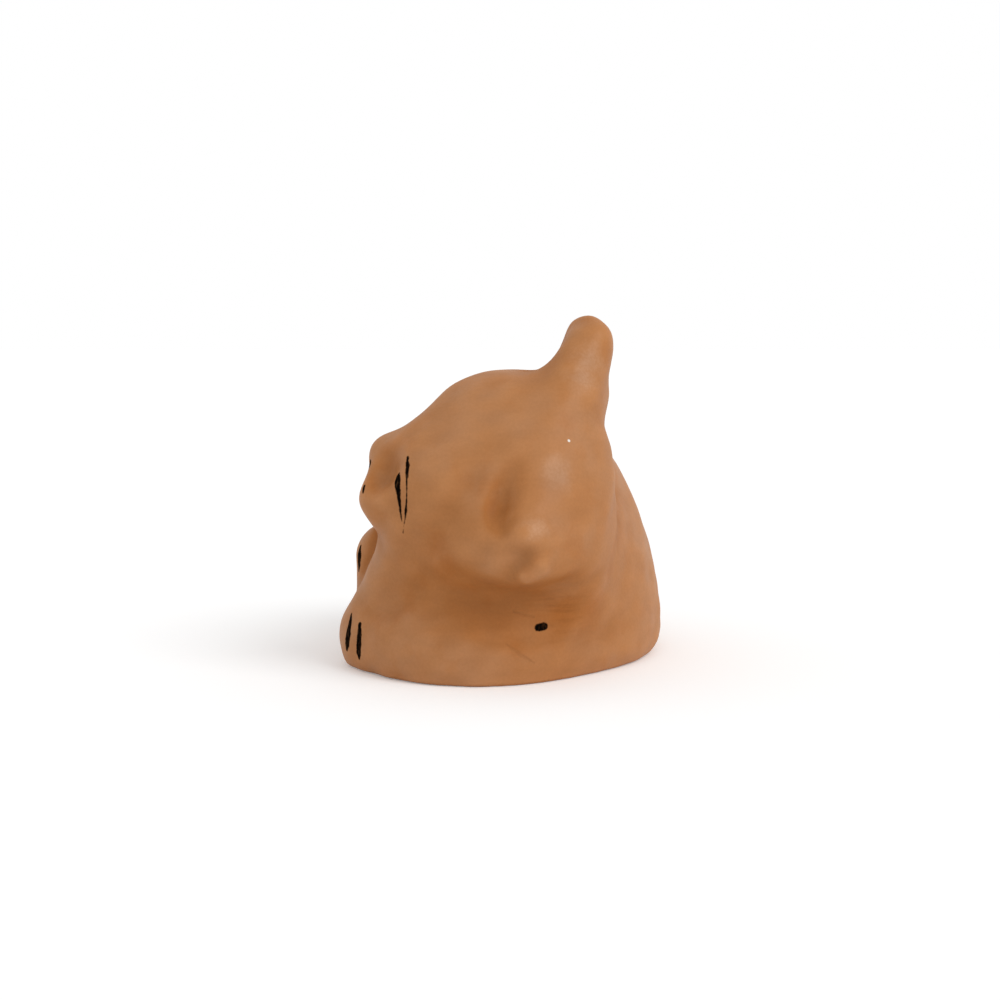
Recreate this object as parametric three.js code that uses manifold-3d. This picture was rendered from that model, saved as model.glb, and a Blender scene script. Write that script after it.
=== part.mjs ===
// Cat planter: a resting cat in fired clay, its hollow body the pot, its head rolled over to one side.
// Millimetres, +Z up. The cat faces -Y, its head lies on the +X side, and its back has the planting opening.
// The pot is a turned dome with an oval plan. The lumps that are luted onto it are smoothed into each other:
// their common skin is the zero of one distance, which blends each lump into the last. Every piece is cast
// onto that skin along rays from its middle and trimmed to its neighbours.
import * as THREE from 'three';
import { mergeVertices } from 'three/addons/utils/BufferGeometryUtils.js';
import { LoftGeometry } from 'three/addons/geometries/LoftGeometry.js';
import Module from 'manifold-3d';

const degrees = THREE.MathUtils.degToRad;
const lerp = THREE.MathUtils.lerp;

// Body: an oval dome that stands on a slightly drawn-in foot
const BODY_X = -8.6;
const BODY_Y = 2.7;
const BODY_HALF_WIDTH = 52.6;
const BODY_HALF_LENGTH = 61.5;
const BODY_HEIGHT = 93.4;
const BODY_FULLNESS = 1.81;
const FOOT_HEIGHT = 7.2;
const FOOT_DRAW_IN = 3.4;
const BODY_WALL = 6.5;

// Planting opening, cut straight down through the back
const OPENING_SETBACK = 11;
const OPENING_HALF_LENGTH = 27;
const OPENING_HALF_WIDTH = 31;

// Floor slab inside the body, with one drain hole
const FLOOR_THICKNESS = 8;
const DRAIN_DIAMETER = 10;

// Head: rolled about the line from nape to nose, so that the crown turns towards +X
const HEAD_ROLL = degrees(55);
const HEAD_INSET = 15.5;
const HEAD_SHIFT = 0.2;
const HEAD_LIFT = 65.7;
const HEAD_HALF_LENGTH = 32.8;
const HEAD_HALF_WIDTH = 37.7;
const HEAD_HALF_HEIGHT = 23.8;
const HEAD_WALL = 7;
const HEAD_SMOOTHING = 12;

// Flats on the top of the head and along the brow, at a distance from the head's centre
const TOP_FLAT = 36.1;
const BROW_FLAT = 42.2;
const BROW_SLOPE = degrees(34.6);
const FLAT_SMOOTHING = 10;

// Lumps on the head: middle from the head's centre, half sizes ahead, to the sides and up to the crown
const FACE = { x: 0, y: -24.8, z: -4, long: 22, wide: 19.6, high: 20, smoothing: 10 };
const FAR_PAD = { x: -6, y: -37.1, z: 4.6, long: 9, wide: 7, high: 8.5, smoothing: 4 };
const NEAR_PAD = { x: 3, y: -39.6, z: -9.3, long: 9, wide: 7.9, high: 10, smoothing: 4 };

// Ears: round cones from a root to a tip, both from the head's centre, flatter from front to back
const FAR_EAR_ROOT = { x: -17, y: 21.7, z: 24.6, radius: 11.2 };
const FAR_EAR_TIP = { x: -12, y: 25.5, z: 49.3, radius: 7.7 };
const FAR_EAR_FLATNESS_RATIO = 0.95;
const FAR_EAR_FACET = 3.5;
const FAR_EAR_FACET_TURN = degrees(38);
const FAR_EAR_FACET_LEAN = degrees(18);
const FACET_SMOOTHING = 3;
const NEAR_EAR_ROOT = { x: 14, y: 3, z: -4, radius: 16 };
const NEAR_EAR_TIP = { x: 36.5, y: 5, z: -22, radius: 9 };
const NEAR_EAR_FLATNESS_RATIO = 0.9;
const EAR_SMOOTHING = 10;
const EAR_SEAT_RATIO = 0.4;

// Ridge from the far ear down into the side of the head
const RIDGE_TOP = { x: -9, y: 26.5, z: 40, radius: 5 };
const RIDGE_FOOT = { x: 21, y: 14.5, z: 8, radius: 9 };
const RIDGE_SMOOTHING = 9;

// Hollows pressed into the head: the near ear's mouth and tip, and a thumb mark beside the nose
const EAR_MOUTH = { x: 36, y: -5.8, z: -6, long: 8.5, wide: 7, high: 13, smoothing: 3 };
const EAR_TIP_DIMPLE = { x: 40.4, y: 3.1, z: -24.2, long: 8, wide: 8, high: 9.6, smoothing: 4 };
const THUMB_MARK = { x: 19, y: -41, z: 5.2, long: 6, wide: 6, high: 7.2, smoothing: 4 };

// Lumps on the body: how far they stand proud of its near side, shift along Y, lift, half sizes along X, Y, Z
const SHOULDER = { proud: 0.5, shift: -3.5, lift: 22, long: 38, wide: 43, high: 30, smoothing: 10 };
const NAPE = { proud: -0.5, shift: 11, lift: 44, long: 27, wide: 26, high: 27, smoothing: 12 };
const RECESS = { proud: 14.3, shift: 2, lift: 25, long: 7, wide: 46, high: 10, smoothing: 9 };

// Near foreleg: lies along an oval inside the body's outline to the paw, then rises by the wrist to the cheek
const LEG_INSET = 0.5;
const LEG_NARROWING = 13.5;
const LEG_SHIFT = -7.1;
const LEG_FROM_ANGLE = degrees(52);
const LEG_RADIUS = 20;
const LEG_HEIGHT = -5;
const LEG_SUNK = 12;
const PAW_ANGLE = degrees(-57);
const PAW_RADIUS = 16;
const PAW_HEIGHT = 9.8;
const WRIST = { x: -4, y: -36.4, z: -29.7, radius: 8.6 };
const CHEEK = { x: 11, y: -25.2, z: -3.7, radius: 13 };
const LEG_SMOOTHING = 7;
const WRIST_SMOOTHING = 6;

// Far foreleg: stands upright under the chin
const FAR_LEG_OUT = 22;
const FAR_LEG_SUNK = 12.4;
const FAR_LEG_RADIUS = 11.6;
const FAR_PAW_HEIGHT = 34.8;
const FAR_ELBOW_HEIGHT = 18;
const FAR_LEG_SMOOTHING = 2.5;

// Tail: lies round the foot on the far side, its tip towards the far paw
const TAIL_RADIUS = 8;
const TAIL_TIP_RADIUS = 5.5;
const TAIL_HEIGHT = 6.5;
const TAIL_SUNK = 3;
const TAIL_FROM_ANGLE = degrees(172);
const TAIL_TO_ANGLE = degrees(264);

// Clay pieces are luted together: each is trimmed to the one it sits on, with this gap
const JOINT_GAP = 0.3;

// How far beyond its own lump a piece takes the smoothed clay around it
const HEAD_REACH = 8;
const MUZZLE_REACH = 1.5;
const EAR_REACH = 6;
const LEG_REACH = 3;

// Smoothness of the curved surfaces
const ROUND_SIDES = 18;
const BODY_SIDES = 44;
const BODY_RINGS = 14;
const LIMB_RINGS = 12;
const CAP_RINGS = 4;
const HEAD_DETAIL = 11;
const EAR_DETAIL = 7;
const SHOULDER_DETAIL = 12;

// Larger than the whole object, for cutting tools
const LIMIT = 400;

const wasm = await Module();
wasm.setup();

// A three.js geometry with its positions alone and its shared vertices merged
function welded(geometry) {
  const plain = new THREE.BufferGeometry();
  plain.setAttribute('position', geometry.getAttribute('position').clone());
  if (geometry.index) plain.setIndex(geometry.index.clone());
  return mergeVertices(plain, 1e-4);
}

// A three.js geometry as a solid, turned outside out if it is wound inwards
function solid(geometry) {
  const merged = welded(geometry);
  const points = merged.getAttribute('position').array;
  const triangles = Uint32Array.from(merged.index.array);
  if (signedVolume(points, triangles) < 0) {
    for (let i = 0; i < triangles.length; i += 3) {
      [triangles[i + 1], triangles[i + 2]] = [triangles[i + 2], triangles[i + 1]];
    }
  }
  return new wasm.Manifold(new wasm.Mesh({
    numProp: 3,
    vertProperties: Float32Array.from(points),
    triVerts: triangles,
  }));
}

function signedVolume(points, triangles) {
  const a = new THREE.Vector3();
  const b = new THREE.Vector3();
  const c = new THREE.Vector3();
  let volume = 0;
  for (let i = 0; i < triangles.length; i += 3) {
    a.fromArray(points, triangles[i] * 3);
    b.fromArray(points, triangles[i + 1] * 3);
    c.fromArray(points, triangles[i + 2] * 3);
    volume += a.dot(b.cross(c)) / 6;
  }
  return volume;
}

// One round section: a ring of points about a centre, in the plane of two directions
function ring(centre, across, along, radius) {
  const points = [];
  for (let i = 0; i < ROUND_SIDES; i++) {
    const turn = (i / ROUND_SIDES) * 2 * Math.PI;
    points.push(centre.clone()
      .addScaledVector(across, radius * Math.cos(turn))
      .addScaledVector(along, radius * Math.sin(turn)));
  }
  return points;
}

function middle(section) {
  const sum = section.reduce((total, point) => total.add(point), new THREE.Vector3());
  return sum.divideScalar(section.length);
}

// A closed skin over a row of sections, each first wound to face the way that the row runs
function loft(sections) {
  const start = middle(sections[0]);
  const run = middle(sections[1]).sub(start);
  const first = sections[0][0].clone().sub(start);
  const quarter = sections[0][Math.floor(sections[0].length / 4)].clone().sub(start);
  const backwards = first.cross(quarter).dot(run) < 0;
  const wound = backwards ? sections.map((section) => section.slice().reverse()) : sections;
  return solid(new LoftGeometry(wound, { capStart: true, capEnd: true }));
}

// A tube whose radius changes along a smooth path, with a round cap at each end
function limb(path, radiusAt, steps = LIMB_RINGS) {
  const frames = path.computeFrenetFrames(steps, false);
  const sections = [];
  const addRing = (at, index, radius, shift) => {
    const centre = path.getPointAt(at).addScaledVector(frames.tangents[index], shift);
    sections.push(ring(centre, frames.normals[index], frames.binormals[index], radius));
  };
  for (let i = 1; i <= CAP_RINGS; i++) {
    const turn = (i / (CAP_RINGS + 1)) * Math.PI / 2;
    addRing(0, 0, radiusAt(0) * Math.sin(turn), -radiusAt(0) * Math.cos(turn));
  }
  for (let i = 0; i <= steps; i++) addRing(i / steps, i, radiusAt(i / steps), 0);
  for (let i = CAP_RINGS; i >= 1; i--) {
    const turn = (i / (CAP_RINGS + 1)) * Math.PI / 2;
    addRing(1, steps, radiusAt(1) * Math.sin(turn), radiusAt(1) * Math.cos(turn));
  }
  return loft(sections);
}

// A straight limb between two points with a radius each
function straightLimb(start, end, startRadius, endRadius) {
  return limb(new THREE.LineCurve3(start, end), (at) => lerp(startRadius, endRadius, at), CAP_RINGS);
}

// An ellipsoid with its half axes along three given directions
function ellipsoid(centre, directions, halves) {
  const geometry = new THREE.SphereGeometry(1, ROUND_SIDES, ROUND_SIDES / 2);
  const frame = new THREE.Matrix4().makeBasis(
    directions[0].clone().multiplyScalar(halves[0]),
    directions[1].clone().multiplyScalar(halves[1]),
    directions[2].clone().multiplyScalar(halves[2]),
  );
  frame.setPosition(centre);
  return solid(geometry.applyMatrix4(frame));
}

// Distances to the lumps: below zero inside

// With k the length of the point over the half sizes, the distance is k (k - 1) over the slope of k
function ellipsoidDistance(centre, directions, halves) {
  const local = new THREE.Vector3();
  return (point) => {
    local.subVectors(point, centre);
    const a = local.dot(directions[0]) / halves[0];
    const b = local.dot(directions[1]) / halves[1];
    const c = local.dot(directions[2]) / halves[2];
    const share = Math.hypot(a, b, c);
    const slope = Math.hypot(a / halves[0], b / halves[1], c / halves[2]) + 1e-9;
    return share * (share - 1) / slope;
  };
}

// The hull of two balls: a slanted side between them and the nearer ball past either end
function roundConeDistance(start, end, startRadius, endRadius) {
  const axis = new THREE.Vector3().subVectors(end, start);
  const reach = axis.length();
  axis.normalize();
  const sine = (startRadius - endRadius) / reach;
  const cosine = Math.sqrt(1 - sine * sine);
  const local = new THREE.Vector3();
  return (point) => {
    local.subVectors(point, start);
    const along = local.dot(axis);
    const away = Math.sqrt(Math.max(local.lengthSq() - along * along, 0));
    const foot = along - away * sine / cosine;
    if (foot <= 0) return local.length() - startRadius;
    if (foot >= reach) return Math.hypot(along - reach, away) - endRadius;
    return cosine * away + sine * along - startRadius;
  };
}

// Smooth union of two distances, which fills the crease between them over a width
function join(first, second, width) {
  const share = THREE.MathUtils.clamp(0.5 + 0.5 * (second - first) / width, 0, 1);
  return lerp(second, first, share) - width * share * (1 - share);
}

// Smooth intersection, and a smooth cut by a tool
function trim(first, second, width) {
  return -join(-first, -second, width);
}

function press(form, tool, width) {
  return trim(form, -tool, width);
}

// Everything below the floor plane, which trims the pieces that rest on it
const belowGround = solid(new THREE.BoxGeometry(LIMIT, LIMIT, LIMIT).translate(0, 0, -LIMIT / 2));

const WORLD = [new THREE.Vector3(1, 0, 0), new THREE.Vector3(0, 1, 0), new THREE.Vector3(0, 0, 1)];

// Profile of the body as (radius, height): a superellipse above the foot and a drawn-in curve below it
function bodyProfile(offset, bottom) {
  const radius = BODY_HALF_WIDTH + offset;
  const rise = BODY_HEIGHT + offset - FOOT_HEIGHT;
  const points = [new THREE.Vector2(0, bottom)];
  const footRadius = (z) => radius - FOOT_DRAW_IN * (1 - Math.max(z, 0) / FOOT_HEIGHT) ** 2;
  if (bottom < 0) points.push(new THREE.Vector2(footRadius(0), bottom));
  for (let i = 0; i <= CAP_RINGS; i++) {
    const z = (i / CAP_RINGS) * FOOT_HEIGHT;
    points.push(new THREE.Vector2(footRadius(z), z));
  }
  for (let i = 1; i < BODY_RINGS; i++) {
    const turn = (i / BODY_RINGS) * Math.PI / 2;
    points.push(new THREE.Vector2(
      radius * Math.cos(turn) ** (2 / BODY_FULLNESS),
      FOOT_HEIGHT + rise * Math.sin(turn) ** (2 / BODY_FULLNESS),
    ));
  }
  points.push(new THREE.Vector2(0, FOOT_HEIGHT + rise));
  return points;
}

// The body's dome, moved outwards by an offset and reaching down to the given height
function bodyDome(offset = 0, bottom = 0) {
  const geometry = new THREE.LatheGeometry(bodyProfile(offset, bottom), BODY_SIDES);
  geometry.rotateX(Math.PI / 2);
  geometry.scale((BODY_HALF_LENGTH + offset) / (BODY_HALF_WIDTH + offset), 1, 1);
  geometry.translate(BODY_X, BODY_Y, 0);
  return solid(geometry);
}

// The same dome as a distance: the superellipse's own value over its slope
function domeDistance(point) {
  const radius = Math.hypot((point.x - BODY_X) * BODY_HALF_WIDTH / BODY_HALF_LENGTH, point.y - BODY_Y);
  const rise = BODY_HEIGHT - FOOT_HEIGHT;
  const drawIn = FOOT_DRAW_IN * THREE.MathUtils.clamp(1 - point.z / FOOT_HEIGHT, 0, 2) ** 2;
  const out = (radius + drawIn) / BODY_HALF_WIDTH;
  const up = Math.max(point.z - FOOT_HEIGHT, 0) / rise;
  const share = (out ** BODY_FULLNESS + up ** BODY_FULLNESS + 1e-12) ** (1 / BODY_FULLNESS);
  const power = BODY_FULLNESS - 1;
  const slope = Math.hypot((out / share) ** power / BODY_HALF_WIDTH, (up / share) ** power / rise);
  return (share - 1) / slope;
}

// The middle of a lump on the near side of the body, and the lump as a distance
function besideBody({ proud, shift, lift, long }) {
  return new THREE.Vector3(BODY_X + BODY_HALF_LENGTH + proud - long, BODY_Y + shift, lift);
}

function bodyLump(lump) {
  return ellipsoidDistance(besideBody(lump), WORLD, grown(lump, 0));
}

// Directions of the head: forward to the nose, out to the far side, up to the crown
const FORWARD = new THREE.Vector3(0, -1, 0);
const CROWN = new THREE.Vector3(Math.sin(HEAD_ROLL), 0, Math.cos(HEAD_ROLL));
const FAR_SIDE = new THREE.Vector3(-Math.cos(HEAD_ROLL), 0, Math.sin(HEAD_ROLL));
const HEAD_AXES = [FORWARD, FAR_SIDE, CROWN];
const HEAD_CENTRE = new THREE.Vector3(BODY_X + BODY_HALF_LENGTH - HEAD_INSET, BODY_Y + HEAD_SHIFT, HEAD_LIFT);
const HEAD_HALVES = [HEAD_HALF_LENGTH, HEAD_HALF_WIDTH, HEAD_HALF_HEIGHT];

function onHead({ x, y, z }) {
  return new THREE.Vector3(x, y, z).add(HEAD_CENTRE);
}

function grown({ long, wide, high }, offset) {
  return [long + offset, wide + offset, high + offset];
}

// A lump on the head or a tool pressed into it, as a distance and as a solid moved outwards by an offset
function headLump(lump) {
  return ellipsoidDistance(onHead(lump), HEAD_AXES, grown(lump, 0));
}

function headLumpSolid(lump, offset) {
  return ellipsoid(onHead(lump), HEAD_AXES, grown(lump, offset));
}

// The skull with its two flats
const skullDistance = ellipsoidDistance(HEAD_CENTRE, HEAD_AXES, HEAD_HALVES);
const faceDistance = headLump(FACE);
function headDistance(point) {
  const top = point.z - HEAD_CENTRE.z;
  const ahead = HEAD_CENTRE.y - point.y;
  const brow = Math.cos(BROW_SLOPE) * top + Math.sin(BROW_SLOPE) * ahead;
  const flatTop = trim(skullDistance(point), top - TOP_FLAT, FLAT_SMOOTHING);
  const skull = trim(flatTop, brow - BROW_FLAT, FLAT_SMOOTHING);
  return join(skull, faceDistance(point), FACE.smoothing);
}

// An ear as a distance: a round cone measured in space that is squeezed from front to back
function earDistance(root, tip, flatness) {
  const start = onHead(root);
  const axis = new THREE.Vector3().subVectors(onHead(tip), start);
  const reach = axis.length();
  axis.normalize();
  const front = FORWARD.clone().addScaledVector(axis, -FORWARD.dot(axis)).normalize();
  const across = new THREE.Vector3().crossVectors(axis, front);
  const cone = roundConeDistance(
    new THREE.Vector3(), new THREE.Vector3(0, 0, reach - tip.radius), root.radius, tip.radius,
  );
  const local = new THREE.Vector3();
  const squeezed = new THREE.Vector3();
  return (point) => {
    local.subVectors(point, start);
    squeezed.set(local.dot(across), local.dot(front) / flatness, local.dot(axis));
    return cone(squeezed) * flatness;
  };
}

const farEarCone = earDistance(FAR_EAR_ROOT, FAR_EAR_TIP, FAR_EAR_FLATNESS_RATIO);
const facetNormal = new THREE.Vector3(
  Math.cos(FAR_EAR_FACET_TURN) * Math.cos(FAR_EAR_FACET_LEAN),
  -Math.sin(FAR_EAR_FACET_TURN) * Math.cos(FAR_EAR_FACET_LEAN),
  Math.sin(FAR_EAR_FACET_LEAN),
);
const farEarTip = onHead(FAR_EAR_TIP);
function farEarDistance(point) {
  const facet = facetNormal.dot(point) - facetNormal.dot(farEarTip) - FAR_EAR_FACET;
  return trim(farEarCone(point), facet, FACET_SMOOTHING);
}

// Oval that the near foreleg lies on, about its own middle
const LEG_MIDDLE = new THREE.Vector3(BODY_X, BODY_Y + LEG_SHIFT, 0);
const LEG_HALF_LENGTH = BODY_HALF_LENGTH - LEG_INSET;
const LEG_HALF_WIDTH = BODY_HALF_WIDTH - LEG_NARROWING;

// A point of the lying foreleg's axis, and its radius, by the share of the way from the paw to the elbow
function legAxis(share) {
  const angle = lerp(PAW_ANGLE, LEG_FROM_ANGLE, share);
  const eased = THREE.MathUtils.smoothstep(share, 0, 1);
  const outward = new THREE.Vector3(
    Math.cos(angle) / LEG_HALF_LENGTH, Math.sin(angle) / LEG_HALF_WIDTH, 0,
  ).normalize();
  return new THREE.Vector3(LEG_HALF_LENGTH * Math.cos(angle), LEG_HALF_WIDTH * Math.sin(angle), 0)
    .add(LEG_MIDDLE)
    .addScaledVector(outward, -LEG_SUNK * eased)
    .setZ(lerp(PAW_HEIGHT, LEG_HEIGHT, eased));
}

function legRadius(share) {
  return lerp(PAW_RADIUS, LEG_RADIUS, THREE.MathUtils.smoothstep(share, 0, 1));
}

// The lying foreleg as a distance: to the oval in plan, to its height, and past either of its ends
function lyingLegDistance(point) {
  const x = point.x - LEG_MIDDLE.x;
  const y = point.y - LEG_MIDDLE.y;
  const share = Math.hypot(x / LEG_HALF_LENGTH, y / LEG_HALF_WIDTH) + 1e-9;
  const slope = Math.hypot(x / LEG_HALF_LENGTH ** 2, y / LEG_HALF_WIDTH ** 2) + 1e-9;
  const angle = Math.atan2(y / LEG_HALF_WIDTH, x / LEG_HALF_LENGTH);
  const along = (angle - PAW_ANGLE) / (LEG_FROM_ANGLE - PAW_ANGLE);
  const eased = THREE.MathUtils.smoothstep(along, 0, 1);
  const meanRadius = (LEG_HALF_LENGTH + LEG_HALF_WIDTH) / 2;
  const past = Math.max(PAW_ANGLE - angle, angle - LEG_FROM_ANGLE, 0) * meanRadius;
  const beside = share * (share - 1) / slope + LEG_SUNK * eased;
  return Math.hypot(beside, point.z - lerp(PAW_HEIGHT, LEG_HEIGHT, eased), past) - legRadius(along);
}

const PAW = legAxis(0);
const risingLeg = roundConeDistance(PAW, onHead(WRIST), PAW_RADIUS, WRIST.radius);
const cheek = roundConeDistance(onHead(WRIST), onHead(CHEEK), WRIST.radius, CHEEK.radius);
function nearLegDistance(point) {
  return join(lyingLegDistance(point), Math.min(risingLeg(point), cheek(point)), WRIST_SMOOTHING);
}

const FAR_LEG_Y = BODY_Y - BODY_HALF_WIDTH + FAR_LEG_SUNK;
const FAR_PAW = new THREE.Vector3(BODY_X + FAR_LEG_OUT, FAR_LEG_Y, FAR_PAW_HEIGHT);
const FAR_ELBOW = FAR_PAW.clone().setZ(FAR_ELBOW_HEIGHT);
const farLegDistance = roundConeDistance(FAR_PAW, FAR_ELBOW, FAR_LEG_RADIUS, FAR_LEG_RADIUS);

// The whole skin: every lump is joined to the last one, and every tool pressed in
const shoulderDistance = bodyLump(SHOULDER);
const napeDistance = bodyLump(NAPE);
const recessDistance = bodyLump(RECESS);
const farPadDistance = headLump(FAR_PAD);
const nearPadDistance = headLump(NEAR_PAD);
const nearEarDistance = earDistance(NEAR_EAR_ROOT, NEAR_EAR_TIP, NEAR_EAR_FLATNESS_RATIO);
const ridgeDistance = roundConeDistance(
  onHead(RIDGE_TOP), onHead(RIDGE_FOOT), RIDGE_TOP.radius, RIDGE_FOOT.radius,
);
const hollowsInHead = [EAR_TIP_DIMPLE, EAR_MOUTH, THUMB_MARK].map((tool) => ({
  distance: ellipsoidDistance(onHead(tool), [FORWARD, WORLD[0], WORLD[2]], grown(tool, 0)),
  smoothing: tool.smoothing,
}));
function skinDistance(point) {
  const muzzle = join(farPadDistance(point), nearPadDistance(point), NEAR_PAD.smoothing);
  let clay = join(domeDistance(point), shoulderDistance(point), SHOULDER.smoothing);
  clay = join(clay, headDistance(point), HEAD_SMOOTHING);
  clay = join(clay, napeDistance(point), NAPE.smoothing);
  clay = press(clay, recessDistance(point), RECESS.smoothing);
  clay = join(clay, nearLegDistance(point), LEG_SMOOTHING);
  clay = join(clay, muzzle, FAR_PAD.smoothing);
  clay = join(clay, farEarDistance(point), EAR_SMOOTHING);
  clay = join(clay, ridgeDistance(point), RIDGE_SMOOTHING);
  clay = join(clay, nearEarDistance(point), EAR_SMOOTHING);
  for (const tool of hollowsInHead) clay = press(clay, tool.distance(point), tool.smoothing);
  return join(clay, farLegDistance(point), FAR_LEG_SMOOTHING);
}

// A ball whose points are moved out along rays from a middle inside the clay until each meets the skin
function castOntoSkin(centre, detail) {
  const closeEnough = 0.01;
  const caution = 0.7;
  const geometry = welded(new THREE.IcosahedronGeometry(1, detail));
  const position = geometry.getAttribute('position');
  const ray = new THREE.Vector3();
  const point = new THREE.Vector3();
  for (let i = 0; i < position.count; i++) {
    ray.fromBufferAttribute(position, i).normalize();
    let reach = 0;
    let depth = -skinDistance(centre);
    while (depth > closeEnough && reach < LIMIT) {
      reach += caution * depth;
      depth = -skinDistance(point.copy(centre).addScaledVector(ray, reach));
    }
    point.copy(centre).addScaledVector(ray, reach);
    position.setXYZ(i, point.x, point.y, point.z);
  }
  return solid(geometry);
}

// What each piece takes of the clay, moved outwards by an offset
function headRegion(offset = 0) {
  const reach = HEAD_REACH + offset;
  const skull = ellipsoid(HEAD_CENTRE, HEAD_AXES, HEAD_HALVES.map((half) => half + reach));
  const ridge = straightLimb(
    onHead(RIDGE_TOP), onHead(RIDGE_FOOT), RIDGE_TOP.radius + reach, RIDGE_FOOT.radius + reach,
  );
  return skull.add(headLumpSolid(FACE, reach)).add(ridge);
}

function muzzleRegion(offset = 0) {
  const reach = MUZZLE_REACH + offset;
  return headLumpSolid(FAR_PAD, reach).add(headLumpSolid(NEAR_PAD, reach));
}

// Where an ear's own clay begins on its axis
function earSeat(root, tip) {
  return onHead(root).lerp(onHead(tip), EAR_SEAT_RATIO);
}

function earRegion(root, tip, offset = 0) {
  const reach = EAR_REACH + offset;
  const seatRadius = lerp(root.radius, tip.radius, EAR_SEAT_RATIO);
  return straightLimb(earSeat(root, tip), onHead(tip), seatRadius + reach, tip.radius + reach);
}

function nearLegRegion(offset = 0) {
  const bends = 7;
  const axis = Array.from({ length: bends }, (_, i) => legAxis(i / (bends - 1)));
  const reach = LEG_REACH + offset;
  const lying = limb(new THREE.CatmullRomCurve3(axis), (at) => legRadius(at) + reach);
  const rising = straightLimb(PAW, onHead(WRIST), PAW_RADIUS + reach, WRIST.radius + reach);
  const toCheek = straightLimb(onHead(WRIST), onHead(CHEEK), WRIST.radius + reach, CHEEK.radius + reach);
  return lying.add(rising).add(toCheek);
}

function farLegRegion(offset = 0) {
  const radius = FAR_LEG_RADIUS + LEG_REACH + offset;
  return straightLimb(FAR_PAW, FAR_ELBOW, radius, radius);
}

// Tail: a limb on the body's outline, sunk into it
function tailForm() {
  const bends = 6;
  const points = Array.from({ length: bends }, (_, i) => {
    const angle = lerp(TAIL_FROM_ANGLE, TAIL_TO_ANGLE, i / (bends - 1));
    return new THREE.Vector3(
      BODY_X + (BODY_HALF_LENGTH - TAIL_SUNK) * Math.cos(angle),
      BODY_Y + (BODY_HALF_WIDTH - TAIL_SUNK) * Math.sin(angle),
      TAIL_HEIGHT,
    );
  });
  return limb(new THREE.CatmullRomCurve3(points), (at) => lerp(TAIL_RADIUS, TAIL_TIP_RADIUS, at));
}

// Body shell, open above and below
const belowFoot = -1;
const openingCutter = solid(new THREE.CylinderGeometry(1, 1, LIMIT, BODY_SIDES)
  .rotateX(Math.PI / 2)
  .scale(OPENING_HALF_LENGTH, OPENING_HALF_WIDTH, 1)
  .translate(BODY_X - OPENING_SETBACK, BODY_Y, FOOT_HEIGHT + LIMIT / 2));
const body = bodyDome().subtract(bodyDome(-BODY_WALL, belowFoot)).subtract(openingCutter);

// Floor slab, fitted inside the wall
const slab = solid(new THREE.BoxGeometry(LIMIT, LIMIT, FLOOR_THICKNESS).translate(0, 0, FLOOR_THICKNESS / 2));
const drain = solid(new THREE.CylinderGeometry(DRAIN_DIAMETER / 2, DRAIN_DIAMETER / 2, LIMIT, ROUND_SIDES)
  .rotateX(Math.PI / 2)
  .translate(BODY_X, BODY_Y, 0));
const floor = bodyDome(-BODY_WALL - JOINT_GAP, belowFoot).intersect(slab).subtract(drain);

// What the pieces on the body are trimmed by, each with the gap of a luted joint
const seatOnBody = bodyDome(JOINT_GAP, belowFoot).add(openingCutter).add(belowGround);
const seatOnEars = earRegion(FAR_EAR_ROOT, FAR_EAR_TIP, JOINT_GAP)
  .add(earRegion(NEAR_EAR_ROOT, NEAR_EAR_TIP, JOINT_GAP));
const seatOnMuzzle = muzzleRegion(JOINT_GAP);
const seatOnHead = headRegion(JOINT_GAP).add(seatOnEars).add(seatOnMuzzle);
const seatOnNearLeg = nearLegRegion(JOINT_GAP);

// Head shell with its ears and muzzle
const headClay = castOntoSkin(HEAD_CENTRE, HEAD_DETAIL).subtract(seatOnBody);
const headHollow = ellipsoid(HEAD_CENTRE, HEAD_AXES, HEAD_HALVES.map((half) => half - HEAD_WALL));
const head = headClay
  .intersect(headRegion())
  .subtract(headHollow)
  .subtract(seatOnEars)
  .subtract(seatOnMuzzle);
const muzzle = headClay.intersect(muzzleRegion());
const nearEar = headClay.intersect(earRegion(NEAR_EAR_ROOT, NEAR_EAR_TIP));
const farEar = castOntoSkin(earSeat(FAR_EAR_ROOT, FAR_EAR_TIP), EAR_DETAIL)
  .intersect(earRegion(FAR_EAR_ROOT, FAR_EAR_TIP))
  .subtract(seatOnBody);

// Shoulder and forelegs, under the head
const lowerClay = castOntoSkin(besideBody(SHOULDER), SHOULDER_DETAIL)
  .subtract(seatOnBody)
  .subtract(seatOnHead);
const aboveHeadCentre = solid(
  new THREE.BoxGeometry(LIMIT, LIMIT, LIMIT).translate(0, 0, HEAD_LIFT + LIMIT / 2),
);
const nearLeg = lowerClay.intersect(nearLegRegion());
const farLeg = lowerClay.intersect(farLegRegion()).subtract(seatOnNearLeg);
const shoulder = lowerClay
  .subtract(aboveHeadCentre)
  .subtract(seatOnNearLeg)
  .subtract(farLegRegion(JOINT_GAP));
const tail = tailForm().subtract(bodyDome(JOINT_GAP, belowFoot)).subtract(belowGround);

// Keeps the largest body of a trimmed piece and drops the crumbs
function largest(piece) {
  const bodies = piece.decompose();
  bodies.sort((a, b) => b.volume() - a.volume());
  return bodies[0];
}

const TERRACOTTA = 0xb0764a;
const BURNISHED_ROUGHNESS = 0.5;

function mesh(name, piece) {
  const data = largest(piece).getMesh();
  const geometry = new THREE.BufferGeometry();
  geometry.setAttribute('position', new THREE.Float32BufferAttribute(data.vertProperties, 3));
  geometry.setIndex(new THREE.Uint32BufferAttribute(data.triVerts, 1));
  geometry.computeVertexNormals();
  const clay = { color: TERRACOTTA, roughness: BURNISHED_ROUGHNESS, metalness: 0 };
  const result = new THREE.Mesh(geometry, new THREE.MeshStandardMaterial(clay));
  result.name = name;
  return result;
}

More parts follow.
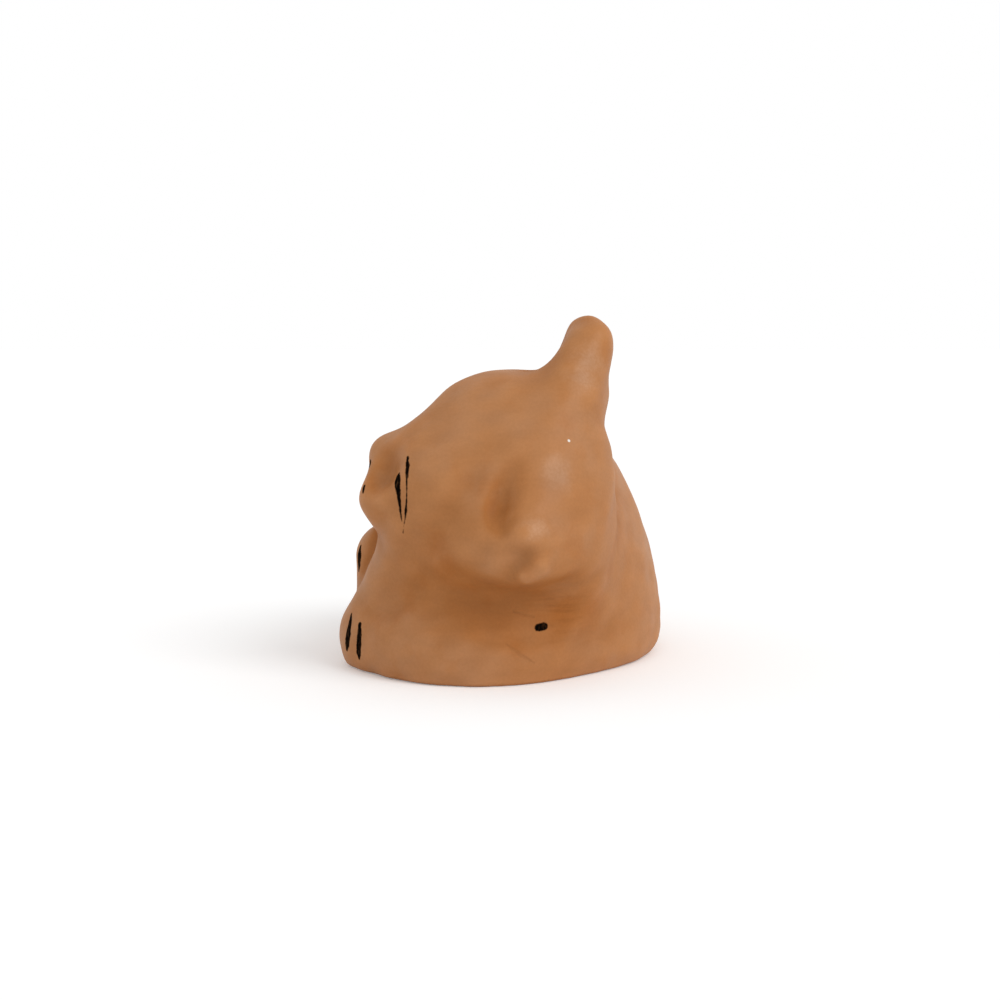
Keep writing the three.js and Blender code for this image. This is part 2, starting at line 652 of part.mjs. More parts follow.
const planter = new THREE.Group();
planter.name = 'cat_planter';
planter.add(
  mesh('body', body),
  mesh('floor', floor),
  mesh('head', head),
  mesh('muzzle', muzzle),
  mesh('far_ear', farEar),
  mesh('near_ear', nearEar),
  mesh('shoulder', shoulder),
  mesh('near_foreleg', nearLeg),
  mesh('far_foreleg', farLeg),
  mesh('tail', tail),
);

export default planter;
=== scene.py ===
"""Cat planter in burnished terracotta: a resting cat whose hollow body is the pot.

The clay is worked out as one distance field, whose zero level is the skin, and is then parted into
the pieces that the potter joins. Each piece is a closed mesh, and the skin runs on over the joints
as smoothed clay does. The black brush marks and the mottling of the clay are in the material, and so
are painted shade in hollows and creases and painted highlight on ridges and in sheen patches.
Lengths are in metres. Places are measured from the middle of the body's foot: +X is the side that the
head lies on, the cat looks along -Y, and +Z is up.
"""
from functools import partial

import bpy
import numpy as np
from bpy.props import FloatProperty, FloatVectorProperty, PointerProperty
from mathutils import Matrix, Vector


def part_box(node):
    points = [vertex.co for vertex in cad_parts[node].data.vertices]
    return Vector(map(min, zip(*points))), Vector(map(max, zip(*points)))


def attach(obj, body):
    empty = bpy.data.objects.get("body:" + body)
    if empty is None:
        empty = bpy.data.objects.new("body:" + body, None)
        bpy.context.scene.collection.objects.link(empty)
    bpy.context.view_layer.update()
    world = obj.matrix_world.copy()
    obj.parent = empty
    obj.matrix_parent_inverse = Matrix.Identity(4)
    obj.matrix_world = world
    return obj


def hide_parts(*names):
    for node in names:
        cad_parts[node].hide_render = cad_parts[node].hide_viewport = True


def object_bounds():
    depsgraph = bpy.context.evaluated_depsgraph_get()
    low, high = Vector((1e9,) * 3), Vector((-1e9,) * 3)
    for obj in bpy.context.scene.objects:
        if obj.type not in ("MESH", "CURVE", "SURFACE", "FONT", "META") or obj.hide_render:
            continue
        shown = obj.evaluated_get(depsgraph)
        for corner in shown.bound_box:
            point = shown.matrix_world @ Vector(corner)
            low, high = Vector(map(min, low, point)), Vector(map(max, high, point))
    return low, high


bl_info = {
    "name": "Cat planter",
    "version": (1, 0, 0),
    "blender": (4, 5, 0),
    "location": "View3D > Sidebar > Cat planter",
    "description": "Models and paints a terracotta planter in the form of a resting cat",
    "category": "Object",
}

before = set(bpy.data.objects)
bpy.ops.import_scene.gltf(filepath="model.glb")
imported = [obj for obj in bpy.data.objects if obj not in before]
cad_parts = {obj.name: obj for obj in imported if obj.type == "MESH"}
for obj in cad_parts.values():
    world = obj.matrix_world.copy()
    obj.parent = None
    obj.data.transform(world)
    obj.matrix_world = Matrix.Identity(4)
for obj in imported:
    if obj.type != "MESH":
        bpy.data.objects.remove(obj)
CAD_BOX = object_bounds()
BODY_LOW, BODY_HIGH = (np.array(corner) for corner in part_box("body"))
FOOT = np.array([(BODY_LOW[0] + BODY_HIGH[0]) / 2, (BODY_LOW[1] + BODY_HIGH[1]) / 2, 0.0])

# Order in which one piece of clay is cut to fit the next: an earlier one keeps its whole form
PIECES = (
    "body", "floor", "head", "muzzle", "far_ear", "near_ear",
    "near_foreleg", "shoulder", "far_foreleg", "tail",
)
# Cell of the grid that the skin is meshed on, picked to leave few doubled edges on the opening's sharp rim
GRID_STEP = 0.00111
# How far the grid reaches beyond the box of the solids
GRID_MARGIN = 0.006
# Height above which no clay counts as the near foreleg
LEG_TOP = 0.050
# Thickness of the slab of clay that each piece is shown as
SLAB = 0.0016
# Ways out of the clay along which its shelter is measured, each with its weight
SHELTER_WAYS = ((0.004, 0.35), (0.010, 0.35), (0.022, 0.30))
# How far from a point the places lie that tell a ridge from a crease
RIDGE_REACH = 0.003


def length(name, description, default):
    """A size in metres for the sidebar."""
    return FloatProperty(name=name, description=description, default=default, unit="LENGTH", precision=4)


def place(name, description, default):
    """A place or a set of half sizes in metres for the sidebar."""
    return FloatVectorProperty(
        name=name, description=description, default=default, subtype="TRANSLATION", unit="LENGTH",
        precision=4)


def colour(name, description, default):
    """A linear colour for the sidebar."""
    return FloatVectorProperty(
        name=name, description=description, default=default, subtype="COLOR", size=3, min=0.0, max=1.0)


def angle(name, description, degrees):
    """An angle for the sidebar, given in degrees."""
    return FloatProperty(name=name, description=description, default=np.radians(degrees), subtype="ANGLE")


def factor(name, description, default, high=1.0):
    """A plain number for the sidebar."""
    return FloatProperty(name=name, description=description, default=default, min=0.0, max=high, precision=3)


class BodyForm(bpy.types.PropertyGroup):
    """The pot: an oval dome with a well, a planting opening and a drain hole."""
    half_length: length(
        "Half length", "From the middle to the side, along X", (BODY_HIGH[0] - BODY_LOW[0]) / 2)
    half_width: length("Half width", "From the middle to the front, along Y", 0.0526)
    height: length("Height", "Height that the dome would have without its opening", 0.0934)
    fullness: factor("Fullness", "Power of the dome's profile: 2 is an ellipse", 1.81, 4.0)
    foot_height: length("Foot height", "Height below which the wall draws in", 0.0072)
    foot_draw_in: length("Foot draw-in", "How far the wall draws in at the floor", 0.0034)
    wall: length("Wall", "Thickness of the clay", 0.0065)
    floor_thickness: length("Floor", "Thickness of the floor slab", 0.008)
    opening_setback: length("Opening setback", "From the middle of the body to that of the opening", 0.011)
    opening_half_length: length("Opening half length", "Along X", 0.027)
    opening_half_width: length("Opening half width", "Along Y", 0.031)
    drain_radius: length("Drain radius", "Radius of the drain hole", 0.005)


class HeadForm(bpy.types.PropertyGroup):
    """The head, rolled over to the near side, with its face and muzzle."""
    centre: place("Centre", "Middle of the head", (0.046, 0.0002, 0.0657))
    roll: angle("Roll", "How far the crown leans over to the near side", 55.0)
    halves: place("Half sizes", "Nape to brow, side to side, chin to crown", (0.0330, 0.0375, 0.0237))
    top_flat: length("Top flat", "Height of the flat on top, above the centre", 0.0363)
    brow_flat: length("Brow flat", "Distance of the straight brow from the centre", 0.0422)
    brow_slope: angle("Brow slope", "How steeply the brow runs down to the nose", 34.6)
    face: place("Face", "Middle of the face, from the centre", (0.0006, -0.0245, -0.0053))
    face_halves: place("Face half sizes", "Ahead, side to side, chin to brow", (0.0225, 0.0216, 0.0190))
    far_pad: place("Far pad", "Middle of the upper muzzle pad, from the centre", (-0.006, -0.0371, 0.0046))
    far_pad_halves: place("Far pad half sizes", "Ahead, side to side, up", (0.009, 0.007, 0.0085))
    near_pad: place("Near pad", "Middle of the lower muzzle pad, from the centre", (0.003, -0.0396, -0.0093))
    near_pad_halves: place("Near pad half sizes", "Ahead, side to side, up", (0.009, 0.0079, 0.010))
    bridge_dent: place("Bridge dent", "Middle of the thumb mark beside the nose", (0.0134, -0.0438, 0.0044))
    bridge_dent_radius: length("Bridge dent radius", "Radius of that thumb mark", 0.0080)
    cheek_crease: place(
        "Cheek crease", "Middle of the crease between cheek and muzzle", (0.0263, -0.0399, -0.0060))
    cheek_crease_halves: place("Cheek crease half sizes", "Out, across and along", (0.0077, 0.0051, 0.0180))
    cheek_crease_lean: angle("Cheek crease lean", "How far the crease leans to the ear", 25.0)


class EarsForm(bpy.types.PropertyGroup):
    """The ear that stands up and the one that lies to the near side, from the head's centre."""
    far_root: place("Far ear root", "Middle of its root", (-0.017, 0.0217, 0.0246))
    far_tip: place("Far ear tip", "End of its axis", (-0.012, 0.0250, 0.0493))
    far_root_radius: length("Far ear root radius", "Radius at the root", 0.0112)
    far_tip_radius: length("Far ear tip radius", "Radius at the tip", 0.0080)
    far_thickness: factor("Far ear thickness", "Front to back as a share of side to side", 0.95)
    facet: length("Far ear facet", "Distance of the flat on its outer face from the tip", 0.0010)
    facet_turn: angle("Far ear facet turn", "How far that flat turns to the front", 40.6)
    facet_lean: angle("Far ear facet lean", "How far that flat leans back", 18.0)
    ridge_top: place(
        "Ridge top", "Upper end of the ridge that runs down into the head", (-0.0078, 0.0249, 0.0396))
    ridge_foot: place("Ridge foot", "Lower end of that ridge", (0.0090, 0.0081, 0.0002))
    ridge_radii: FloatVectorProperty(
        name="Ridge radii", description="Radius of the ridge above and below",
        default=(0.0072, 0.0139), size=2, unit="LENGTH")
    near_root: place("Near ear root", "Middle of its root", (0.0119, 0.0082, -0.0069))
    near_tip: place("Near ear tip", "End of its axis", (0.0349, 0.0031, -0.0238))
    near_root_radius: length("Near ear root radius", "Radius at the root", 0.0135)
    near_tip_radius: length("Near ear tip radius", "Radius at the tip", 0.0098)
    near_thickness: factor("Near ear thickness", "Front to back as a share of side to side", 0.9)
    near_knob: place("Near ear knob", "Middle of the pinched end of the near ear", (0.0343, 0.0050, -0.0172))
    near_knob_radius: length("Near ear knob radius", "Radius of that end", 0.0045)
    near_scoop: place("Near ear scoop", "Middle of the thumb mark under its tip", (0.0434, 0.0006, -0.0268))
    near_scoop_halves: place("Near ear scoop half sizes", "Out, across and up", (0.0054, 0.0063, 0.0066))
    near_scoop_lean: angle("Near ear scoop lean", "How far that mark leans sideways", 29.0)
    near_scoop_yaw: angle("Near ear scoop yaw", "How far that mark is dug to the rear", 21.0)
    concha: place("Concha", "Middle of the hollow of the near ear", (0.0354, -0.0016, -0.0006))
    concha_halves: place("Concha half sizes", "Out, across and up", (0.0085, 0.0040, 0.0136))
    concha_lean: angle("Concha lean", "How far the hollow leans sideways", -15.0)
    concha_yaw: angle("Concha yaw", "How far the hollow is dug to the rear", 4.0)
    rim_top: place("Rim top", "Upper end of the smeared rim beside the thumb mark", (0.0344, 0.0092, -0.0200))
    rim_bend: place("Rim bend", "Middle of that rim", (0.0367, 0.0079, -0.0254))
    rim_foot: place("Rim foot", "Lower end of that rim", (0.0360, 0.0036, -0.0288))
    rim_radius: length("Rim radius", "Radius of that rim", 0.0018)


class LimbsForm(bpy.types.PropertyGroup):
    """Shoulder, nape, forelegs and tail, from the middle of the body's foot."""
    shoulder: place("Shoulder", "Middle of the shoulder", (0.0282, -0.0057, 0.0247))
    shoulder_halves: place("Shoulder half sizes", "Along X, Y and Z", (0.0456, 0.0360, 0.0307))
    nape: place("Nape", "Middle of the mass behind the head", (0.0372, 0.0109, 0.0405))
    nape_halves: place("Nape half sizes", "Along X, Y and Z", (0.0292, 0.0219, 0.0300))
    jowl: place("Jowl", "Middle of the mass between cheek and shoulder", (0.0600, 0.0022, 0.0401))
    jowl_halves: place("Jowl half sizes", "Along X, Y and Z", (0.0227, 0.0222, 0.0172))
    recess: place("Recess", "Middle of the hollow under the cheek", (0.0755, -0.0022, 0.0243))
    recess_halves: place("Recess half sizes", "Along X, Y and Z", (0.0075, 0.0456, 0.0074))
    leg_half_length: length(
        "Leg half length", "Half length of the oval that the near leg lies on, along X", 0.061)
    leg_half_width: length("Leg half width", "Half width of that oval, along Y", 0.0391)
    leg_shift: length("Leg shift", "How far that oval is moved along Y", -0.0071)
    paw_radius: length("Paw radius", "Radius of the near leg at its paw", 0.016)
    paw_height: length("Paw height", "Height of the paw's middle", 0.0098)
    wrist: place("Wrist", "Middle of the near wrist", (0.0427, -0.0322, 0.0340))
    wrist_radius: length("Wrist radius", "Radius of the near wrist", 0.0127)
    cheek: place("Cheek", "Middle of the near cheek, above the wrist", (0.0573, -0.0201, 0.0621))
    cheek_radius: length("Cheek radius", "Radius of the near cheek", 0.0119)
    far_paw: place("Far paw", "Top of the far foreleg, under the chin", (0.022, -0.0404, 0.0348))
    far_elbow: place("Far elbow", "Lower end of the far foreleg", (0.022, -0.0401, 0.018))
    far_radius: length("Far leg radius", "Radius of the far foreleg", 0.0116)
    tail_radius: length("Tail radius", "Radius of the tail at its root", 0.008)
    tail_tip_radius: length("Tail tip radius", "Radius of the tail at its tip", 0.0055)


class ClayFinish(bpy.types.PropertyGroup):
    """Colours and gloss of the burnished clay."""
    clay: colour("Clay", "Main colour", (0.460, 0.200, 0.074))
    # Pale clay: lighter, pinker clay in random clouds and in the pink patches, some of which are painted
    # highlight
    pale: colour("Pale clay", "Pinkish patches that the burnisher has polished", (0.455, 0.212, 0.092))
    rust: colour("Rust clay", "Warmer patches", (0.430, 0.165, 0.048))
    # Painted sheen: a lighter, greyer colour laid where highlights fall on the ears
    painted_sheen: colour("Dusty colour", "Fired clay where the surface is worn and dusty", (0.50, 0.27, 0.15))
    # Painted shade: the colour is multiplied by this tint where the clay is sheltered in hollows
    hollow: colour("Hollow tint", "What the colour is multiplied by in hollows", (0.91, 0.81, 0.66))
    burnish: factor("Burnish", "Weight of the burnished skin", 0.55)
    roughness: factor("Roughness", "Roughness of the clay under the burnish", 0.62)
    coat_roughness: factor("Burnish roughness", "Roughness of the burnished skin", 0.40)
    raw_roughness: factor("Raw roughness", "Roughness inside the well and under the foot", 0.82)


class PaintFinish(bpy.types.PropertyGroup):
    """The black brush marks."""
    black: colour("Black", "Colour of the paint", (0.004, 0.0026, 0.0018))
    roughness: factor("Roughness", "Roughness of the paint", 0.42)
    fray: length("Fray", "How far the edge of a stroke wanders", 0.00022)


class StageSettings(bpy.types.PropertyGroup):
    """Floor, light and camera."""
    floor_colour: colour("Floor", "Colour of the floor", (0.93, 0.93, 0.93))
    floor_glow: factor("Floor glow", "What the floor shows the camera beyond the light on it", 0.20)
    sky_strength: factor("Sky strength", "Light from all round", 0.70, 10.0)
    key_strength: factor("Key strength", "Strength of the soft light from one side", 1.0, 10.0)
    key_from: place("Key from", "Where the soft light comes from, as a direction", (0.45, 0.60, 0.65))
    key_spread: angle("Key spread", "How wide the soft light is", 35.0)
    camera_place: place("Camera place", "Where it stands, from the body's foot", (0.636, -0.0035, 0.120))
    camera_aim: place("Camera aim", "What it looks at, from the body's foot", (0.016, -0.0035, 0.053))
    focal_length: FloatProperty(
        name="Focal length", description="In millimetres", default=66.03, unit="CAMERA")


# Distance fields


def ellipsoid(points, centre, halves, axes=None):
    """Distance to an ellipsoid, true close to it: with k = |q / r|, it is k (k - 1) / |q / r^2|."""
    local = points - np.asarray(centre, np.float32)
    if axes is not None:
        local = local @ np.asarray(axes, np.float32).T
    halves = np.asarray(halves, np.float32)
    share = np.sqrt(((local / halves) ** 2).sum(-1))
    slope = np.sqrt(((local / halves ** 2) ** 2).sum(-1)) + 1e-9
    return share * (share - 1) / slope


def round_cone(points, start, end, start_radius, end_radius):
    """Distance to the hull of two balls: the nearer ball past either end, the cone's side between them."""
    start = np.asarray(start, np.float32)
    axis = np.asarray(end, np.float32) - start
    reach = np.sqrt((axis ** 2).sum())
    axis = axis / reach
    along = (points - start) @ axis
    away = np.sqrt(np.maximum(((points - start) ** 2).sum(-1) - along ** 2, 0))
    sine = (start_radius - end_radius) / reach
    cosine = np.sqrt(1 - sine ** 2)
    foot = along - away * sine / cosine
    at = np.clip(foot, 0, reach)
    side = np.sqrt((along - at) ** 2 + away ** 2) - (start_radius + (end_radius - start_radius) * at / reach)
    slanted = cosine * away + sine * along - start_radius
    return np.where((foot > 0) & (foot < reach), slanted, side)


def join(first, second, width):
    """Smooth union: the lesser distance, less w h (1 - h) where the two lie within w of each other."""
    share = np.clip(0.5 + 0.5 * (second - first) / width, 0, 1)
    return second * (1 - share) + first * share - width * share * (1 - share)


def trim(first, second, width):
    """Smooth intersection: what both forms hold, with the edge rounded over w."""
    return -join(-first, -second, width)


def press(form, tool, width):
    """Smooth cut: the form without the tool, with the edge rounded over w."""
    return trim(form, -tool, width)


def oval(points, half_length, half_width):
    """Distance in plan to an ellipse about the origin, as for an ellipsoid."""
    x = points[..., 0]
    y = points[..., 1]
    share = np.sqrt((x / half_length) ** 2 + (y / half_width) ** 2) + 1e-9
    slope = np.sqrt((x / half_length ** 2) ** 2 + (y / half_width ** 2) ** 2) + 1e-9
    return share * (share - 1) / slope


def dome(points, body, inset=0.0):
    """Distance to the pot's dome: (r / a)^n + (z / b)^n = 1 over an oval plan, divided by its own slope.

    Below the foot height r grows by a square law, so that the wall draws in to the floor.
    """
    radius = np.hypot(points[..., 0] * body.half_width / body.half_length, points[..., 1])
    z = points[..., 2]
    half_width = body.half_width - inset
    rise = body.height - inset - body.foot_height
    up = np.maximum(z - body.foot_height, 0) / rise
    out = (radius + body.foot_draw_in * np.clip(1 - z / body.foot_height, 0, 2) ** 2) / half_width
    power = body.fullness
    share = (out ** power + up ** power + 1e-12) ** (1 / power)
    slope = np.hypot((out / share) ** (power - 1) / half_width, (up / share) ** (power - 1) / rise)
    return (share - 1) / (slope + 1e-9)


def foot_tube(points, half_length, half_width, turns, sunk, height, radius):
    """A round limb that lies along an oval between two turns from +X, with a round end.

    How far it is sunk, its height and its radius each run from a first to a last value by s = t t (3 - 2 t).
    """
    middle = (turns[0] + turns[1]) / 2
    x = points[..., 0] / half_length
    y = points[..., 1] / half_width
    turn = np.arctan2(
        y * np.cos(middle) - x * np.sin(middle), x * np.cos(middle) + y * np.sin(middle)) + middle
    share = np.clip((turn - turns[0]) / (turns[1] - turns[0]), 0, 1)
    share = share * share * (3 - 2 * share)
    past = np.maximum(np.maximum(turns[0] - turn, turn - turns[1]), 0) * (half_length + half_width) / 2

    def run(ends):
        return ends[0] + (ends[1] - ends[0]) * share

    beside = oval(points, half_length, half_width) + run(sunk)
    return np.sqrt(beside ** 2 + (points[..., 2] - run(height)) ** 2 + past ** 2) - run(radius)


def head_axes(head):
    """Directions of the head: ahead to the nose, out to the far side and up to the crown."""
    ahead = (0.0, -1.0, 0.0)
    far_side = (-np.cos(head.roll), 0.0, np.sin(head.roll))
    crown = (np.sin(head.roll), 0.0, np.cos(head.roll))
    return np.array([ahead, far_side, crown])


def tool_axes(lean, yaw):
    """Directions of a modelling tool: out of the near side, across and up, leaned and dug to the rear."""
    out = np.array([np.cos(yaw), np.sin(yaw), 0])
    across = np.array([-np.sin(yaw), np.cos(yaw), 0])
    up = np.array([0, 0, 1])
    leaned = np.cos(lean) * across + np.sin(lean) * up
    upright = np.cos(lean) * up - np.sin(lean) * across
    return np.stack([out, leaned, upright])


def ear_cone(points, root, tip, root_radius, tip_radius, thickness, ahead):
    """A round cone, thinner from front to back, and the points in its axes: across, front and along."""
    axis = tip - root
    reach = np.sqrt((axis ** 2).sum())
    axis = axis / reach
    front = ahead - axis * (ahead @ axis)
    front = front / np.sqrt((front ** 2).sum())
    axes = np.stack([np.cross(axis, front), front, axis]).astype(np.float32)
    local = (points - root.astype(np.float32)) @ axes.T
    end = (0.0, 0.0, reach - tip_radius)
    squeezed = local / np.array([1.0, thickness, 1.0], np.float32)
    return round_cone(squeezed, (0.0, 0.0, 0.0), end, root_radius, tip_radius) * thickness, local


def unevenness(points):
    """How far smoothed clay wanders from its form: two crossed pairs of waves, 13 to 23 mm along the axes."""
    amount = 0.00013
    turn_per_millimetre = 2 * np.pi / 0.001
    x, y, z = (points[..., axis] * turn_per_millimetre for axis in range(3))
    first = np.sin(x / 17 + y / 23) * np.sin(z / 14 + 1.3)
    second = np.sin(y / 13 - z / 19 + 0.7) * np.sin(x / 21 + 2.1)
    return amount * (first + second)


def clay_forms(points, cat):
    """Distance to each lump of clay before the lumps are smoothed into each other, by name."""
    head = cat.head
    ears = cat.ears
    limbs = cat.limbs
    axes = head_axes(head)
    centre = np.array(head.centre)
    from_head = points - centre.astype(np.float32)
    forms = {"body": dome(points, cat.body)}

    head_rounding = 0.010
    skull = ellipsoid(from_head, (0, 0, 0), head.halves, axes)
    skull = trim(skull, from_head[..., 2] - head.top_flat, head_rounding)
    brow = np.cos(head.brow_slope) * from_head[..., 2] - np.sin(head.brow_slope) * from_head[..., 1]
    skull = trim(skull, brow - head.brow_flat, head_rounding)
    face = ellipsoid(from_head, head.face, head.face_halves, axes)
    forms["head"] = join(skull, face, head_rounding)

    pad_rounding = 0.004
    far_pad = ellipsoid(from_head, head.far_pad, head.far_pad_halves, axes)
    near_pad = ellipsoid(from_head, head.near_pad, head.near_pad_halves, axes)
    forms["muzzle"] = join(far_pad, near_pad, pad_rounding)
    dent = head.bridge_dent_radius
    dent_height = 1.2 * dent
    forms["bridge_dent"] = ellipsoid(from_head, head.bridge_dent, (dent, dent, dent_height))
    crease_axes = tool_axes(head.cheek_crease_lean, 0.0)
    forms["cheek_crease"] = ellipsoid(from_head, head.cheek_crease, head.cheek_crease_halves, crease_axes)

    far_tip = np.array(ears.far_tip)
    far_ear, far_local = ear_cone(
        from_head, np.array(ears.far_root), far_tip, ears.far_root_radius, ears.far_tip_radius,
        ears.far_thickness, axes[0])
    level = np.cos(ears.facet_lean)
    facing = np.array([
        np.cos(ears.facet_turn) * level, -np.sin(ears.facet_turn) * level, np.sin(ears.facet_lean)])
    facet = (from_head - far_tip.astype(np.float32)) @ facing.astype(np.float32) - ears.facet
    facet_rounding = 0.003
    forms["far_ear"] = trim(far_ear, facet, facet_rounding)
    forms["ear_ridge"] = round_cone(from_head, ears.ridge_top, ears.ridge_foot, *ears.ridge_radii)
    far_scoop = (-0.004, 0.015, 0.022)
    far_scoop_halves = (0.0065, 0.007, 0.014)
    forms["far_scoop"] = ellipsoid(far_local, far_scoop, far_scoop_halves)

    forms["near_ear"], _ = ear_cone(
        from_head, np.array(ears.near_root), np.array(ears.near_tip), ears.near_root_radius,
        ears.near_tip_radius, ears.near_thickness, axes[0])
    forms["near_knob"] = ellipsoid(from_head, ears.near_knob, (ears.near_knob_radius,) * 3)
    scoop_axes = tool_axes(ears.near_scoop_lean, ears.near_scoop_yaw)
    forms["near_scoop"] = ellipsoid(from_head, ears.near_scoop, ears.near_scoop_halves, scoop_axes)
    rim_end_radius = 0.7 * ears.rim_radius
    forms["near_rim"] = np.minimum(
        round_cone(from_head, ears.rim_top, ears.rim_bend, ears.rim_radius, ears.rim_radius),
        round_cone(from_head, ears.rim_bend, ears.rim_foot, ears.rim_radius, rim_end_radius))
    concha_axes = tool_axes(ears.concha_lean, ears.concha_yaw)
    forms["concha"] = ellipsoid(from_head, ears.concha, ears.concha_halves, concha_axes)

    for name in ("shoulder", "nape", "jowl", "recess"):
        forms[name] = ellipsoid(points, getattr(limbs, name), getattr(limbs, name + "_halves"))

    paw_turn = np.radians(-57.0)
    rear_turn = np.radians(52.0)
    rear_sunk = 0.0159
    rear_height = 0.0027
    rear_radius = 0.0235
    elbow_rounding = 0.006
    lying = foot_tube(
        points - np.array([0, limbs.leg_shift, 0], np.float32), limbs.leg_half_length, limbs.leg_half_width,
        (paw_turn, rear_turn), (0.0, rear_sunk), (limbs.paw_height, rear_height),
        (limbs.paw_radius, rear_radius))
    paw = np.array([
        limbs.leg_half_length * np.cos(paw_turn),
        limbs.leg_shift + limbs.leg_half_width * np.sin(paw_turn),
        limbs.paw_height,
    ])
    rising = np.minimum(
        round_cone(points, paw, limbs.wrist, limbs.paw_radius, limbs.wrist_radius),
        round_cone(points, limbs.wrist, limbs.cheek, limbs.wrist_radius, limbs.cheek_radius))
    forms["near_foreleg"] = join(lying, rising, elbow_rounding)
    forms["far_foreleg"] = round_cone(
        points, limbs.far_paw, limbs.far_elbow, limbs.far_radius, limbs.far_radius)

    tail_turns = np.radians([172.0, 264.0])
    tail_sunk = 0.003
    tail_height = 0.0065
    forms["tail"] = foot_tube(
        points, cat.body.half_length, cat.body.half_width, tail_turns, (tail_sunk, tail_sunk),
        (tail_height, tail_height), (limbs.tail_radius, limbs.tail_tip_radius))
    return forms


def well(points, body):
    """Distance to the pot's hollow: the dome less its wall above the floor, joined to an oval shaft."""
    shaft_foot = 0.030
    shaft_rounding = 0.003
    z = points[..., 2]
    hollow = np.maximum(dome(points, body, body.wall), body.floor_thickness - z)
    moved = points + np.array([body.opening_setback, 0, 0], np.float32)
    shaft = np.maximum(oval(moved, body.opening_half_length, body.opening_half_width), shaft_foot - z)
    return join(hollow, shaft, shaft_rounding)


# What is done to the pot in turn: lumps joined on and tool marks pressed in, each smoothed over a width
WORKING = (
    (join, "shoulder", 0.010),
    (join, "head", 0.012),
    (join, "nape", 0.012),
    (join, "jowl", 0.0140),
    (press, "recess", 0.0135),
    (join, "near_foreleg", 0.007),
    (join, "muzzle", 0.004),
    (join, "far_ear", 0.010),
    (join, "ear_ridge", 0.0078),
    (join, "near_ear", 0.010),
    (press, "far_scoop", 0.004),
    (join, "near_knob", 0.0040),
    (press, "near_scoop", 0.0054),
    (join, "near_rim", 0.0037),
    (press, "concha", 0.0045),
    (press, "bridge_dent", 0.0040),
    (press, "cheek_crease", 0.0050),
    (join, "far_foreleg", 0.0025),
    (join, "tail", 0.003),
)
GROUND_ROUNDING = 0.0015
RIM_ROUNDING = 0.004
DRAIN_ROUNDING = 0.001


def skin(points, cat):
    """Distance to the clay's surface: the pot worked in turn, set on the ground, dug out and drained."""
    forms = clay_forms(points, cat)
    clay = forms["body"]
    for work, name, width in WORKING:
        clay = work(clay, forms[name], width)
    clay = trim(clay + unevenness(points), -points[..., 2], GROUND_ROUNDING)
    clay = press(clay, well(points, cat.body), RIM_ROUNDING)
    drain = np.hypot(points[..., 0], points[..., 1]) - cat.body.drain_radius
    return press(clay, drain, DRAIN_ROUNDING)


def owners(points, cat):
    """Index in PIECES of the piece that each point of the skin belongs to: the nearest lump.

    Lumps that hold the point deeper than a little count as equal, and the first of them in PIECES has it.
    The well and the underside belong to the body and the floor alone, and no leg reaches above LEG_TOP.
    """
    well_margin = 0.0005
    underside_height = 0.001
    deep = 0.001
    far_off = 1.0
    height = points[..., 2]
    slab_top = 1.5 * cat.body.floor_thickness
    lumps = clay_forms(points, cat)
    lumps["shoulder"] = np.minimum(np.minimum(lumps["shoulder"], lumps["nape"]), lumps["jowl"])
    lumps["far_ear"] = np.minimum(lumps["far_ear"], lumps["ear_ridge"])
    lumps["near_ear"] = np.minimum(np.minimum(lumps["near_ear"], lumps["near_knob"]), lumps["near_rim"])
    lumps["floor"] = np.maximum(dome(points, cat.body, cat.body.wall), height - slab_top)
    lumps["body"] = np.maximum(lumps["body"], -lumps["floor"])
    within = (well(points, cat.body) < well_margin) | (height < underside_height)
    for name in PIECES:
        if name not in ("body", "floor"):
            lumps[name] = np.where(within, far_off, lumps[name])
    lumps["near_foreleg"] = np.where(height > LEG_TOP, far_off, lumps["near_foreleg"])
    return np.maximum(np.stack([lumps[name] for name in PIECES]), -deep).argmin(0)


def even_seams(quads, owner, rounds=6):
    """Gives each quad to the piece with most of the quads round its corners, so that seams run clean."""
    for _ in range(rounds):
        votes = np.zeros((quads.max() + 1, len(PIECES)), int)
        np.add.at(votes, (quads, owner[:, None]), 1)
        owner = votes[quads].sum(1).argmax(1)
    return owner


def slopes(points, cat):
    """Gradient of the skin's distance at each point, by central differences."""
    reach = 0.0002
    parts = []
    for axis in range(3):
        shift = np.zeros(3)
        shift[axis] = reach
        parts.append((skin(points + shift, cat) - skin(points - shift, cat)) / (2 * reach))
    return np.stack(parts, -1)


def settle(points, cat, steps=2):
    """Moves points onto the skin: p less d g / |g|^2, a Newton step along the gradient, a few times."""
    for _ in range(steps):
        gradient = slopes(points, cat)
        points = points - (skin(points, cat) / ((gradient ** 2).sum(-1) + 1e-9))[:, None] * gradient
    return points


